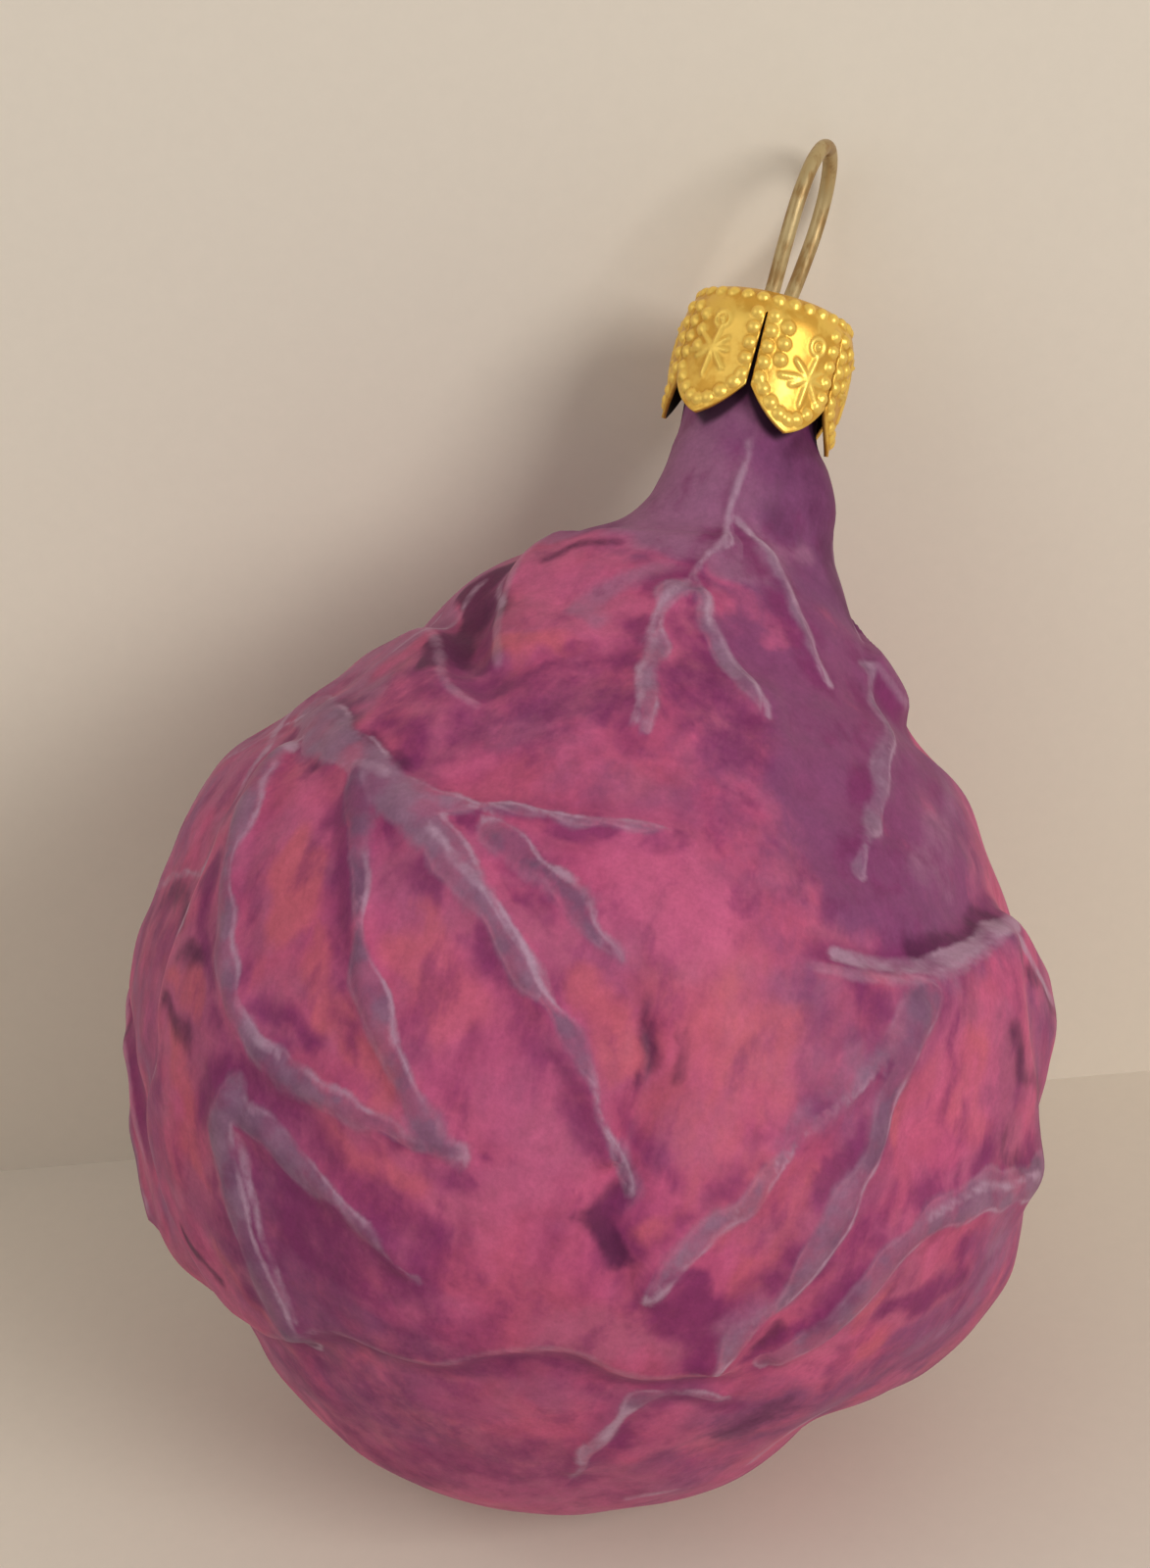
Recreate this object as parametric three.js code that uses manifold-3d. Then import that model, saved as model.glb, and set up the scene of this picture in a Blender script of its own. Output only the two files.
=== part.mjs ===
// A mould-blown glass Christmas ornament in the shape of a red cabbage head.
// Millimetres, +Z up. The origin is the inner top of the wire loop, where the
// ornament hangs, and its painted front faces -Y. Three separate pieces: the
// hollow glass head, the stamped crown cap over its neck, and the spring wire
// whose legs spread inside the neck and hold the cap down. They are shaped
// about the ornament's own axis with the cap's shoulder at height 0, so a depth
// here is a distance below that shoulder, and are then lowered together.

import * as THREE from 'three';
import { mergeVertices } from 'three/addons/utils/BufferGeometryUtils.js';
import Module from 'manifold-3d';

const wasm = await Module();
wasm.setup();

// Driving dimensions
const WIRE_THICK = 1.05;
const LOOP_HEIGHT = 11.2; // inner top of the loop to the cap's shoulder
const LOOP_LEAN = 0.7; // the loop's top stands this far to the right of the axis
const LEG_SPREAD = 2.77; // from the middle of the neck to each leg
const HANGER_TURN = 76.4; // degrees from +X to the plane of the wire
const CAP_METAL = 0.45;
const CAP_DOME = 0.35; // the cap's top stands this far above its shoulder
const CAP_PETALS = 6;
const CAP_TURN = -37; // degrees from the front to the middle of the first petal
const PETAL_SHOULDER = 6.4; // depth where a petal starts to narrow
const PETAL_TIP = 8.95; // depth of the petal's point
const PETAL_BLUNT = 0.12; // half width of the point
const PETAL_BOW = 2.0; // depth below the shoulder that a slanted edge bows towards
const PETAL_BOW_AT = 0.5; // and how far across to the petal's middle
const SLIT_TOP = 1.4;
const SLIT_WIDTH = 0.36;
const HOLE_RADIUS = 0.86; // the two holes that the wire passes through
const HOLE_SIDES = 16;
const CAP_MOUTH = 6.3; // outer radius at the petals' points
const GLASS_WALL = 1.4;
const NECK_WALL = 0.9;
const NECK_END = [8, 16]; // travel down the outline over which the neck's wall thickens
const RIM_DEPTH = 0.75; // depth of the glass rim under the cap

// The cap's inside, as [radius, depth], and its outside back up to the top
const CAP_INSIDE = [
  [0, CAP_METAL - CAP_DOME], [4.5, CAP_METAL - CAP_DOME], [5.0, 0.5], [5.3, 1.2], [5.45, 2.0],
  [5.5, 3.5], [5.6, 6.5], [CAP_MOUTH - CAP_METAL, PETAL_TIP],
];
const CAP_OUTSIDE = [
  [CAP_MOUTH, PETAL_TIP], [6.05, 6.5], [5.95, 3.5], [5.9, 2.0], [5.7, 1.1], [5.3, 0.4],
  [4.75, -0.1], [4.1, -CAP_DOME], [0, -CAP_DOME],
];

// Half of the wire, from the top of the loop to the end of a leg: [distance
// from the middle, height over the cap's shoulder]
const HALF_WIRE = [
  [0, LOOP_HEIGHT + WIRE_THICK / 2], [1.9, LOOP_HEIGHT], [3.4, 9.6], [4.05, 7.1], [3.7, 4.1],
  [3.0, 1.3], [LEG_SPREAD, 0], [LEG_SPREAD, -3.5], [LEG_SPREAD, -7.5], [3.3, -11.5], [5.0, -16],
  [6.9, -21], [8.3, -27],
];

// The glass outline from the rim to the flat spot under it: [radius, depth].
const GLASS_OUTLINE = [
  [4.8, RIM_DEPTH], [4.7, 3.5], [4.6, 7.0], [4.8, 9.2], [5.4, 10.7], [6.1, 12.6], [6.5, 14.3],
  [7.5, 16.4], [9.6, 18.3], [12.0, 20.7], [15.6, 24.9], [20.8, 30.1], [25.5, 36.1],
  [29.4, 42.5], [30.8, 49.5], [30.9, 56.5], [29.1, 62.9], [25.5, 68.5], [19.8, 73.9],
  [14.2, 78.2], [9.6, 81.1], [5.5, 82.4],
];

// Places on the glass are [degrees from the front, mm down the outline from the
// rim]. Degrees grow towards +X.

// Broad lumps: place, half size across and down, and height.
const LUMPS = [
  { at: [80, 13], size: [5, 5.5], high: 1.3 },
  { at: [-88, 13], size: [5, 4], high: -1.3 },
  { at: [-85, 26], size: [10, 4.5], high: 1.0 },
  { at: [85, 21], size: [8, 3], high: -0.7 },
  { at: [85, 29.5], size: [10, 2.5], high: -0.5 },
  { at: [85, 34], size: [10, 4], high: 0.4 },
  { at: [-85, 35], size: [12, 4], high: -0.4 },
  { at: [-85, 47], size: [10, 4], high: 0.7 },
  { at: [85, 56], size: [8, 3], high: -0.7 },
  { at: [85, 62], size: [8, 2.5], high: -0.5 },
  { at: [-85, 70], size: [14, 6], high: -1.1 },
  { at: [85, 68], size: [14, 6], high: 0.6 },
  { at: [-80, 81], size: [10, 4], high: 0.8 },
  { at: [85, 82.5], size: [10, 3], high: -1.2 },
  { at: [-80, 88], size: [9, 3], high: -0.6 },
  { at: [85, 91], size: [9, 4], high: 0.8 },
  { at: [-20, 58], size: [10, 12], high: 0.5 },
  { at: [22, 60], size: [8, 10], high: 0.5 },
  { at: [-48, 56], size: [6, 9], high: 0.5 },
  { at: [150, 55], size: [14, 14], high: 0.7 },
  { at: [-150, 50], size: [13, 12], high: 0.6 },
];

// Leaf rims: the leaf below a path that runs to the right, or to the left of
// one that runs down, lies on top of its neighbour.
const RIMS = [
  { rise: 1.0, path: [[-36, 35], [-42, 32.5], [-50, 29.5], [-60, 25], [-66, 22.5], [-72, 20]] },
  { rise: 0.9, path: [[-92, 37], [-75, 32.5], [-62, 32], [-51, 33.6], [-40, 36.8], [-30, 38]] },
  { rise: 0.4, path: [[18, 29], [20, 35], [19, 41], [17, 47]] },
  { rise: 0.9, path: [[92, 27.5], [78, 27.8], [67, 28], [60, 26.8], [53, 25.2]] },
  {
    rise: 1.1,
    path: [[19, 50.2], [30, 50.1], [40, 48.8], [47, 47.2], [57, 44.8], [65, 43.5], [78, 46], [92, 50]],
  },
  { rise: 0.5, path: [[61, 44.5], [60, 48], [60, 51], [66, 54.5], [72, 58], [76, 63]] },
  {
    rise: 0.6,
    path: [
      [-57, 84], [-62, 78.6], [-66, 75], [-66, 71], [-59, 67], [-60, 61.6], [-59, 55], [-60, 49.2],
      [-64, 45.6],
    ],
  },
  {
    rise: 0.8,
    path: [[34, 75], [17, 78.2], [6, 77.5], [-3, 79.4], [-12, 82], [-28, 82], [-45, 85], [-64, 84]],
  },
];

// Veins: half widths at the start and the end, and height.
const VEINS = [
  { half: [0.4, 0.6], high: 0.3, path: [[5, 10.8], [2, 13], [2, 16.7], [-5, 21.5]] },
  { half: [0.5, 0.5], high: 0.35, path: [[9, 15.4], [18, 17.2], [25, 19], [29, 24.2], [34, 27.9]] },
  { half: [0.9, 1.1], high: 0.4, path: [[-6, 23.5], [-11, 25.6], [-8, 31.3], [-5, 37.4]] },
  { half: [0.7, 0.6], high: 0.35, path: [[-4, 23.5], [1, 25.6], [11, 30.4], [13, 33.2]] },
  { half: [0.8, 0.8], high: 0.5, path: [[53, 25.2], [49, 30], [40, 35.2], [33, 40.4], [30, 43.1]] },
  {
    half: [1.7, 0.6],
    high: 0.9,
    path: [[-68, 41], [-48, 44.1], [-32, 47.1], [-22, 50], [-14, 52.7], [-6, 57], [1, 61.3], [6, 66.1]],
  },
  { half: [0.9, 0.5], high: 0.4, path: [[-38, 45.9], [-28, 46.4], [-14, 45.3], [3, 44.4]] },
  { half: [1.0, 0.6], high: 0.4, path: [[-19, 47.3], [-11, 49.1], [-4, 51.6], [0, 53]] },
  {
    half: [1.2, 1.0],
    high: 0.7,
    path: [[-41, 45.5], [-34, 50.7], [-28, 56.4], [-25, 59.7], [-18, 63.8], [-12, 66.5]],
  },
  {
    half: [1.2, 1.0],
    high: 0.7,
    path: [[-60, 43.5], [-55, 49.1], [-49, 55.8], [-45, 60.1], [-37, 63.9], [-26, 65.2], [-12, 66]],
  },
  { half: [1.3, 1.2], high: 0.7, path: [[-41, 66.5], [-42, 69.8], [-39, 78.1], [-37, 84.7]] },
  { half: [1.3, 0.4], high: 0.6, path: [[-40, 67.5], [-33, 69.4], [-25, 70.9], [-14, 74.5]] },
  {
    half: [1.1, 0.9],
    high: 0.8,
    path: [[36, 51], [34, 54.5], [32, 59.5], [30, 64.4], [28, 69.1], [25, 74.4], [25, 76.7]],
  },
  { half: [0.6, 0.9], high: 0.6, path: [[34, 53], [26, 58.9], [20, 63.9], [15, 67.9], [12, 72.3]] },
  {
    half: [1.4, 1.2],
    high: 0.7,
    path: [[76, 60], [59, 61.5], [45, 63.7], [39, 67.4], [35, 72.6], [32, 75]],
  },
  { half: [0.5, 0.6], high: 0.4, path: [[20, 91.4], [18, 84.6], [21, 79.7], [32, 78.8]] },
  { half: [0.5, 1.0], high: -0.8, path: [[4, 55.7], [6, 60], [5, 66.5], [7, 69.2], [10, 72]] },
];

// The leaves at the back: hub place, half width in degrees, drop of the rim
// from the hub to its sides, and the number and length of the veins that fan
// down from the hub.
const BACK_LEAVES = [
  { hub: [118, 38], half: 34, drop: 22, veins: 4, reach: 30 },
  { hub: [-118, 36], half: 32, drop: 24, veins: 4, reach: 32 },
  { hub: [180, 27], half: 36, drop: 20, veins: 5, reach: 26 },
  { hub: [146, 63], half: 32, drop: 18, veins: 4, reach: 22 },
  { hub: [-152, 60], half: 34, drop: 20, veins: 5, reach: 24 },
  { hub: [-95, 68], half: 24, drop: 12, veins: 3, reach: 16 },
];
const BACK_RIM_RISE = 1.0;
const BACK_VEIN_HIGH = 0.7;
const BACK_VEIN_HALF = [1.3, 0.6];
const BACK_RIM_STEPS = 12;
const BACK_RIM_LIFT = 4; // the rim's top stands this far above the hub
const BACK_RIM_BOW = 1.8; // how round the rim's arch is
const BACK_FAN_TURN = 0.72; // how far the outer veins spread, of the half width
const BACK_FAN_BOW = 0.8; // below 1, the veins spread early and then run down
const BACK_FAN_ROUND = 0.3; // how much shorter the outer veins are
const BACK_VEIN_POINTS = [0, 0.35, 0.7, 1];

// The relief
const RIM_SOFT = 1.0; // how gently a leaf rim steps up
const RIM_REACH = 7; // how far the step lasts on the upper leaf
const RIM_GROOVE = 1.8; // half width of the groove under a rim
const RIM_GROOVE_DEEP = 0.35; // its depth, of the rim's rise
const RIM_ENDS = [0, 0.12]; // the share of its length over which a rim rises at each end
const VEIN_ENDS = [-0.02, 0.08]; // and a vein
const VEIN_SLOPE = 0.4; // how far a vein's sides reach past its half width
const RELIEF_TOP = [5, 9]; // travel over which the relief starts, under the cap
const RELIEF_END = [8, 1]; // and over which it dies away, from the lower end
const PATH_STEP = 4; // spacing of the points that follow a curved path

// Facets
const GLASS_SIDES = 84;
const GLASS_ROWS = 54;
const HOLLOW_SIDES = 36;
const HOLLOW_ROWS = 24;
const CAP_SIDES = 60;
const PETAL_EDGE_STEPS = 4;
const WIRE_SIDES = 10;
const WIRE_STEPS = 72;

const CUT_PAST = 1; // a cutting shape runs this far past what it cuts
const TAU = Math.PI * 2;
const toRadians = THREE.MathUtils.degToRad;

// Solids and their cuts
function solidFrom(geometry) {
  const bare = geometry.clone();
  bare.deleteAttribute('normal');
  bare.deleteAttribute('uv');
  const merged = mergeVertices(bare, 1e-4);
  const corners = merged.index.array;
  const faces = [];
  for (let i = 0; i < corners.length; i += 3) {
    const [a, b, c] = [corners[i], corners[i + 1], corners[i + 2]];
    if (a !== b && b !== c && c !== a) faces.push(a, b, c);
  }
  return new wasm.Manifold(new wasm.Mesh({
    numProp: 3,
    vertProperties: new Float32Array(merged.attributes.position.array),
    triVerts: new Uint32Array(faces),
  }));
}

function geometryFrom(solid) {
  const mesh = solid.getMesh();
  const geometry = new THREE.BufferGeometry();
  geometry.setAttribute('position', new THREE.Float32BufferAttribute(mesh.vertProperties, 3));
  geometry.setIndex(Array.from(mesh.triVerts));
  geometry.computeVertexNormals();
  return geometry;
}

// A turned shape: the lathe's axis is stood up along +Z, with its first
// meridian at the front.
function turned(points, sides) {
  const geometry = new THREE.LatheGeometry(points, sides);
  geometry.rotateX(Math.PI / 2);
  return geometry;
}

// The glass outline as a curve, by distance travelled down it
const glassCurve = new THREE.SplineCurve(
  GLASS_OUTLINE.map(([radius, depth]) => new THREE.Vector2(radius, -depth)),
);
const outlineLength = glassCurve.getLength();

function outlineAt(travel) {
  const share = THREE.MathUtils.clamp(travel / outlineLength, 0, 1);
  const place = glassCurve.getPointAt(share);
  const along = glassCurve.getTangentAt(share);
  return { place, outward: new THREE.Vector2(-along.y, along.x) };
}

// A path in steps short enough to follow its curve
function smoothPath(points) {
  const curve = new THREE.SplineCurve(points.map(([deg, travel]) => new THREE.Vector2(deg, travel)));
  const steps = Math.max(2, Math.ceil(curve.getLength() / PATH_STEP));
  return curve.getPoints(steps);
}

// The nearest place on a path: its distance, the side it lies on, and how far
// along the path it is, from 0 to 1.
function nearest(path, deg, travel, radius) {
  const width = toRadians(1) * radius;
  let best = { distance: Infinity, side: 1, along: 0 };
  for (let i = 0; i + 1 < path.length; i += 1) {
    const turn = 360 * Math.round((deg - path[i].x) / 360);
    const across = (deg - turn - path[i].x) * width;
    const down = travel - path[i].y;
    const runAcross = (path[i + 1].x - path[i].x) * width;
    const runDown = path[i + 1].y - path[i].y;
    const run = Math.max(runAcross ** 2 + runDown ** 2, 1e-9);
    const share = THREE.MathUtils.clamp((across * runAcross + down * runDown) / run, 0, 1);
    const distance = Math.hypot(across - share * runAcross, down - share * runDown);
    if (distance < best.distance) {
      const side = Math.sign(runAcross * down - runDown * across) || 1;
      best = { distance, side, along: (i + share) / (path.length - 1) };
    }
  }
  return best;
}

// The back leaves become a rim arch and a fan of veins each.
function backRim({ hub: [deg, travel], half, drop }) {
  const path = [];
  for (let i = 0; i <= BACK_RIM_STEPS; i += 1) {
    const side = (2 * i) / BACK_RIM_STEPS - 1;
    path.push([deg + half * side, travel - BACK_RIM_LIFT + drop * Math.abs(side) ** BACK_RIM_BOW]);
  }
  return { path, rise: BACK_RIM_RISE };
}

function backVeins({ hub: [deg, travel], half, veins, reach }) {
  return Array.from({ length: veins }, (_, i) => {
    const side = (2 * i) / (veins - 1) - 1;
    const path = BACK_VEIN_POINTS.map((share) => [
      deg + BACK_FAN_TURN * half * side * share ** BACK_FAN_BOW,
      travel + reach * (1 - BACK_FAN_ROUND * side ** 2) * share,
    ]);
    return { path, half: BACK_VEIN_HALF, high: BACK_VEIN_HIGH };
  });
}

const rims = [...RIMS, ...BACK_LEAVES.map(backRim)]
  .map((rim) => ({ ...rim, path: smoothPath(rim.path) }));
const veins = [...VEINS, ...BACK_LEAVES.flatMap(backVeins)]
  .map((vein) => ({ ...vein, path: smoothPath(vein.path) }));

function lumpHeight(deg, travel, radius) {
  let height = 0;
  for (const { at, size, high } of LUMPS) {
    const turn = deg - at[0] - 360 * Math.round((deg - at[0]) / 360);
    const across = (toRadians(turn) * radius) / size[0];
    const down = (travel - at[1]) / size[1];
    height += high * Math.exp(-(across ** 2 + down ** 2));
  }
  return height;
}

function rimHeight(deg, travel, radius) {
  let height = 0;
  for (const { path, rise } of rims) {
    const near = nearest(path, deg, travel, radius);
    const signed = near.distance * near.side;
    const fade = THREE.MathUtils.smoothstep(Math.min(near.along, 1 - near.along), ...RIM_ENDS);
    const step = 0.5 * (1 + Math.tanh(signed / RIM_SOFT)) * Math.exp(-near.distance / RIM_REACH);
    const groove = RIM_GROOVE_DEEP * Math.exp(-(((signed + RIM_GROOVE) / RIM_GROOVE) ** 2));
    height += rise * fade * (step - groove);
  }
  return height;
}

function veinHeight(deg, travel, radius) {
  let height = 0;
  for (const { path, half, high } of veins) {
    const near = nearest(path, deg, travel, radius);
    const width = THREE.MathUtils.lerp(half[0], half[1], near.along) + VEIN_SLOPE;
    const fade = THREE.MathUtils.smoothstep(Math.min(near.along, 1 - near.along), ...VEIN_ENDS);
    const ridge = high * fade * Math.exp(-((near.distance / width) ** 2));
    height = Math.abs(ridge) > Math.abs(height) ? ridge : height;
  }
  return height;
}

// The relief dies away under the cap and round the flat spot below.
function calm(travel) {
  const [fading, gone] = RELIEF_END.map((left) => outlineLength - left);
  const top = THREE.MathUtils.smoothstep(travel, ...RELIEF_TOP);
  return top * (1 - THREE.MathUtils.smoothstep(travel, fading, gone));
}

// Moves the corners of a turned shape out or in, row by row, and returns how
// far each one went.
function displace(geometry, travels, heightAt) {
  const { position } = geometry.attributes;
  return Array.from({ length: position.count }, (_, i) => {
    const travel = travels[i % travels.length];
    const x = position.getX(i);
    const y = position.getY(i);
    const radius = Math.hypot(x, y);
    if (travel === null || radius === 0) return 0;
    const { place, outward } = outlineAt(travel);
    const deg = THREE.MathUtils.radToDeg(Math.atan2(x, -y));
    const height = calm(travel) * heightAt(deg, travel, place.x);
    const grow = 1 + (outward.x * height) / radius;
    position.setXYZ(i, x * grow, y * grow, position.getZ(i) + outward.y * height);
    return height;
  });
}

// Splits each square of a turned shape along the diagonal that follows a ridge.
function followRidges(geometry, heights, columnLength) {
  const corners = geometry.index.array;
  const columns = heights.length / columnLength - 1;
  for (let i = 0; i < columns; i += 1) {
    for (let j = 0; j + 1 < columnLength; j += 1) {
      const a = i * columnLength + j;
      const [b, c, d] = [a + columnLength, a + columnLength + 1, a + 1];
      if (Math.abs(heights[a] - heights[c]) < Math.abs(heights[b] - heights[d])) {
        corners.set([a, b, c, a, c, d], 6 * (i * (columnLength - 1) + j));
      }
    }
  }
}

// Hollow glass head
function wallAt(travel) {
  return THREE.MathUtils.lerp(NECK_WALL, GLASS_WALL, THREE.MathUtils.smoothstep(travel, ...NECK_END));
}

function glassSkin(rows, sides, insetAt, topDepth, heightAt) {
  const travels = Array.from({ length: rows + 1 }, (_, i) => outlineLength * (1 - i / rows));
  const wall = travels.map((travel) => {
    const { place, outward } = outlineAt(travel);
    return place.clone().addScaledVector(outward, -insetAt(travel));
  });
  const points = [new THREE.Vector2(0, wall[0].y), ...wall];
  const marks = [null, ...travels];
  if (-topDepth > wall.at(-1).y) {
    points.push(new THREE.Vector2(wall.at(-1).x, -topDepth));
    marks.push(null);
  }
  points.push(new THREE.Vector2(0, points.at(-1).y));
  marks.push(null);
  const geometry = turned(points, sides);
  const heights = displace(geometry, marks, heightAt);
  followRidges(geometry, heights, marks.length);
  return solidFrom(geometry);
}

function glassHead() {
  const outside = glassSkin(GLASS_ROWS, GLASS_SIDES, () => 0, RIM_DEPTH, (deg, travel, radius) => (
    lumpHeight(deg, travel, radius) + rimHeight(deg, travel, radius) + veinHeight(deg, travel, radius)
  ));
  const openTop = RIM_DEPTH - CUT_PAST;
  const hollow = glassSkin(HOLLOW_ROWS, HOLLOW_SIDES, wallAt, openTop, lumpHeight);
  return geometryFrom(outside.subtract(hollow));
}

// Crown cap: a bell of thin metal, slit into pointed petals, with two holes
function capBell() {
  const outline = [...CAP_INSIDE, ...CAP_OUTSIDE];
  return solidFrom(turned(outline.map(([r, depth]) => new THREE.Vector2(r, -depth)), CAP_SIDES));
}

function petalGap(turn) {
  const half = SLIT_WIDTH / 2;
  const reach = CAP_MOUTH * Math.sin(Math.PI / CAP_PETALS) - PETAL_BLUNT;
  const bowAt = PETAL_BOW_AT * reach;
  const bowDepth = PETAL_SHOULDER + PETAL_BOW;
  const shape = new THREE.Shape();
  shape.moveTo(half, -SLIT_TOP);
  shape.lineTo(-half, -SLIT_TOP);
  shape.lineTo(-half, -PETAL_SHOULDER);
  shape.quadraticCurveTo(-bowAt, -bowDepth, -reach, -PETAL_TIP);
  shape.lineTo(-reach, -PETAL_TIP - CUT_PAST);
  shape.lineTo(reach, -PETAL_TIP - CUT_PAST);
  shape.lineTo(reach, -PETAL_TIP);
  shape.quadraticCurveTo(bowAt, -bowDepth, half, -PETAL_SHOULDER);
  const gap = new THREE.ExtrudeGeometry(shape, {
    depth: CAP_MOUTH + CUT_PAST,
    bevelEnabled: false,
    curveSegments: PETAL_EDGE_STEPS,
  });
  gap.rotateX(Math.PI / 2);
  gap.rotateZ(turn);
  return solidFrom(gap);
}

// A place in the plane of the wire: across from the middle, and height.
function inHangerPlane(across, height) {
  const turn = toRadians(HANGER_TURN);
  return new THREE.Vector3(across * Math.cos(turn), across * Math.sin(turn), height);
}

function crownCap() {
  let cap = capBell();
  for (let i = 0; i < CAP_PETALS; i += 1) {
    cap = cap.subtract(petalGap(toRadians(CAP_TURN) + (TAU * (i + 0.5)) / CAP_PETALS));
  }
  for (const side of [-1, 1]) {
    const height = 2 * (CAP_METAL + CUT_PAST);
    const hole = new THREE.CylinderGeometry(HOLE_RADIUS, HOLE_RADIUS, height, HOLE_SIDES);
    hole.rotateX(Math.PI / 2);
    const { x, y } = inHangerPlane(side * LEG_SPREAD, 0);
    hole.translate(x, y, 0);
    cap = cap.subtract(solidFrom(hole));
  }
  return geometryFrom(cap);
}

// The loop leans over to the right above the cap.
function leaning(place) {
  const rise = Math.max(0, place.z) / LOOP_HEIGHT;
  return place.setX(place.x + LOOP_LEAN * rise);
}

// Spring hanger: one wire, up one leg, round the loop and down the other
function wireHanger() {
  const right = HALF_WIRE.map(([across, height]) => leaning(inHangerPlane(across, height)));
  const left = HALF_WIRE.slice(1).map(([across, height]) => leaning(inHangerPlane(-across, height)));
  const route = new THREE.CatmullRomCurve3([...left.reverse(), ...right], false, 'centripetal');
  const section = new THREE.Shape();
  for (let i = 0; i < WIRE_SIDES; i += 1) {
    const turn = (TAU * i) / WIRE_SIDES;
    const place = [0.5 * WIRE_THICK * Math.cos(turn), 0.5 * WIRE_THICK * Math.sin(turn)];
    if (i === 0) section.moveTo(...place);
    else section.lineTo(...place);
  }
  return new THREE.ExtrudeGeometry(section, { steps: WIRE_STEPS, extrudePath: route, bevelEnabled: false });
}

// Finishes
const paintedGlass = new THREE.MeshStandardMaterial({ color: '#a54a6f', roughness: 0.55, metalness: 0 });
const goldMetal = new THREE.MeshStandardMaterial({ color: '#c9961c', roughness: 0.32, metalness: 1 });
const dullBronze = new THREE.MeshStandardMaterial({ color: '#8f7447', roughness: 0.45, metalness: 1 });

function piece(name, geometry, material) {
  const mesh = new THREE.Mesh(geometry, material);
  mesh.name = name;
  return mesh;
}

const ornament = new THREE.Group();
ornament.add(piece('glass_head', glassHead(), paintedGlass));
ornament.add(piece('crown_cap', crownCap(), goldMetal));
ornament.add(piece('wire_hanger', wireHanger(), dullBronze));
ornament.position.set(-LOOP_LEAN, 0, -LOOP_HEIGHT);

export default ornament;
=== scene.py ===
"""A hanging glass ornament in the shape of a red cabbage head: painted glass
with moulded leaves and veins, a stamped gold crown cap and a wire loop.

Lengths in the lists below are in millimetres, about the ornament's own axis and
down from the shoulder of its cap. A place on the glass is (degrees from the front,
mm down the outline from the rim), with degrees growing to the right.
"""

import math

import bmesh
import bpy
import numpy as np
from bpy.props import FloatProperty, FloatVectorProperty, IntProperty, PointerProperty
from mathutils import Matrix, Vector


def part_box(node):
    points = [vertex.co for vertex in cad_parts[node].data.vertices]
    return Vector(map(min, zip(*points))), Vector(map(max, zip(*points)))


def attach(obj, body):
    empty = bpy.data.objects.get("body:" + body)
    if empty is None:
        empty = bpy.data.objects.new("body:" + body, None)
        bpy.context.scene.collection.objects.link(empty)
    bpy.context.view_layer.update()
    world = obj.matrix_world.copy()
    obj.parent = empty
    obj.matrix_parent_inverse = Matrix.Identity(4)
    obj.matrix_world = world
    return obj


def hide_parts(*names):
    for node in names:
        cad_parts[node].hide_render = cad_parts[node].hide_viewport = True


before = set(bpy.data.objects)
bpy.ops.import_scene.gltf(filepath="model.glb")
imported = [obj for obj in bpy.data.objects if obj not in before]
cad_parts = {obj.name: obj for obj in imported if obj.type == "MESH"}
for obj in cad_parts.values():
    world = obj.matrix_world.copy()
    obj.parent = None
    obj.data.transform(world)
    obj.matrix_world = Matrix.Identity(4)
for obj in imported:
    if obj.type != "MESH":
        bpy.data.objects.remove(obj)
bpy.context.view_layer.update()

bl_info = {
    "name": "Glass Cabbage Ornament",
    "version": (1, 0, 0),
    "blender": (4, 5, 0),
    "location": "3D View > Sidebar > Ornament",
    "description": "Builds a painted glass ornament with its crown cap, hanger and stage",
    "category": "Object",
}

MM = 0.001
BODY = "root"

# The loop leans to the right of the ornament's axis, and the cap's top stands
# above its shoulder.
LOOP_LEAN = 0.7
CAP_DOME = 0.35
AXIS_PLACE = Vector((-LOOP_LEAN * MM, 0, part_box("crown_cap")[1].z - CAP_DOME * MM))

# Glass outline from the rim to the flat spot under it: (radius, depth)
GLASS_OUTLINE = [
    (4.8, 0.75), (4.7, 3.5), (4.6, 7.0), (4.8, 9.2), (5.4, 10.7), (6.1, 12.6), (6.5, 14.3),
    (7.5, 16.4), (9.6, 18.3), (12.0, 20.7), (15.6, 24.9), (20.8, 30.1), (25.5, 36.1),
    (29.4, 42.5), (30.8, 49.5), (30.9, 56.5), (29.1, 62.9), (25.5, 68.5), (19.8, 73.9),
    (14.2, 78.2), (9.6, 81.1), (5.5, 82.4),
]
OUTLINE_STEPS = 64
# Walls of the head and the neck, and where down the outline one becomes the other
GLASS_WALL = 1.4
NECK_WALL = 0.9
NECK_END = (8.0, 16.0)
INNER_ROWS = 20

# Broad lumps: (place, half size across and down, height)
LUMPS = [
    ((80, 13), (5, 5.5), 1.3), ((-88, 13), (5, 4), -1.3), ((-85, 26), (10, 4.5), 1.0),
    ((85, 21), (8, 3), -0.7), ((85, 29.5), (10, 2.5), -0.5), ((85, 34), (10, 4), 0.4),
    ((-85, 35), (12, 4), -0.4), ((-85, 47), (10, 4), 0.7), ((85, 56), (8, 3), -0.7),
    ((85, 62), (8, 2.5), -0.5), ((-85, 70), (14, 6), -1.1), ((85, 68), (14, 6), 0.6),
    ((-80, 81), (10, 4), 0.8), ((85, 82.5), (10, 3), -1.2), ((-80, 88), (9, 3), -0.6),
    ((85, 91), (9, 4), 0.8), ((-20, 58), (10, 12), 0.5), ((22, 60), (8, 10), 0.5),
    ((-48, 56), (6, 9), 0.5), ((150, 55), (14, 14), 0.7), ((-150, 50), (13, 12), 0.6),
]

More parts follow.
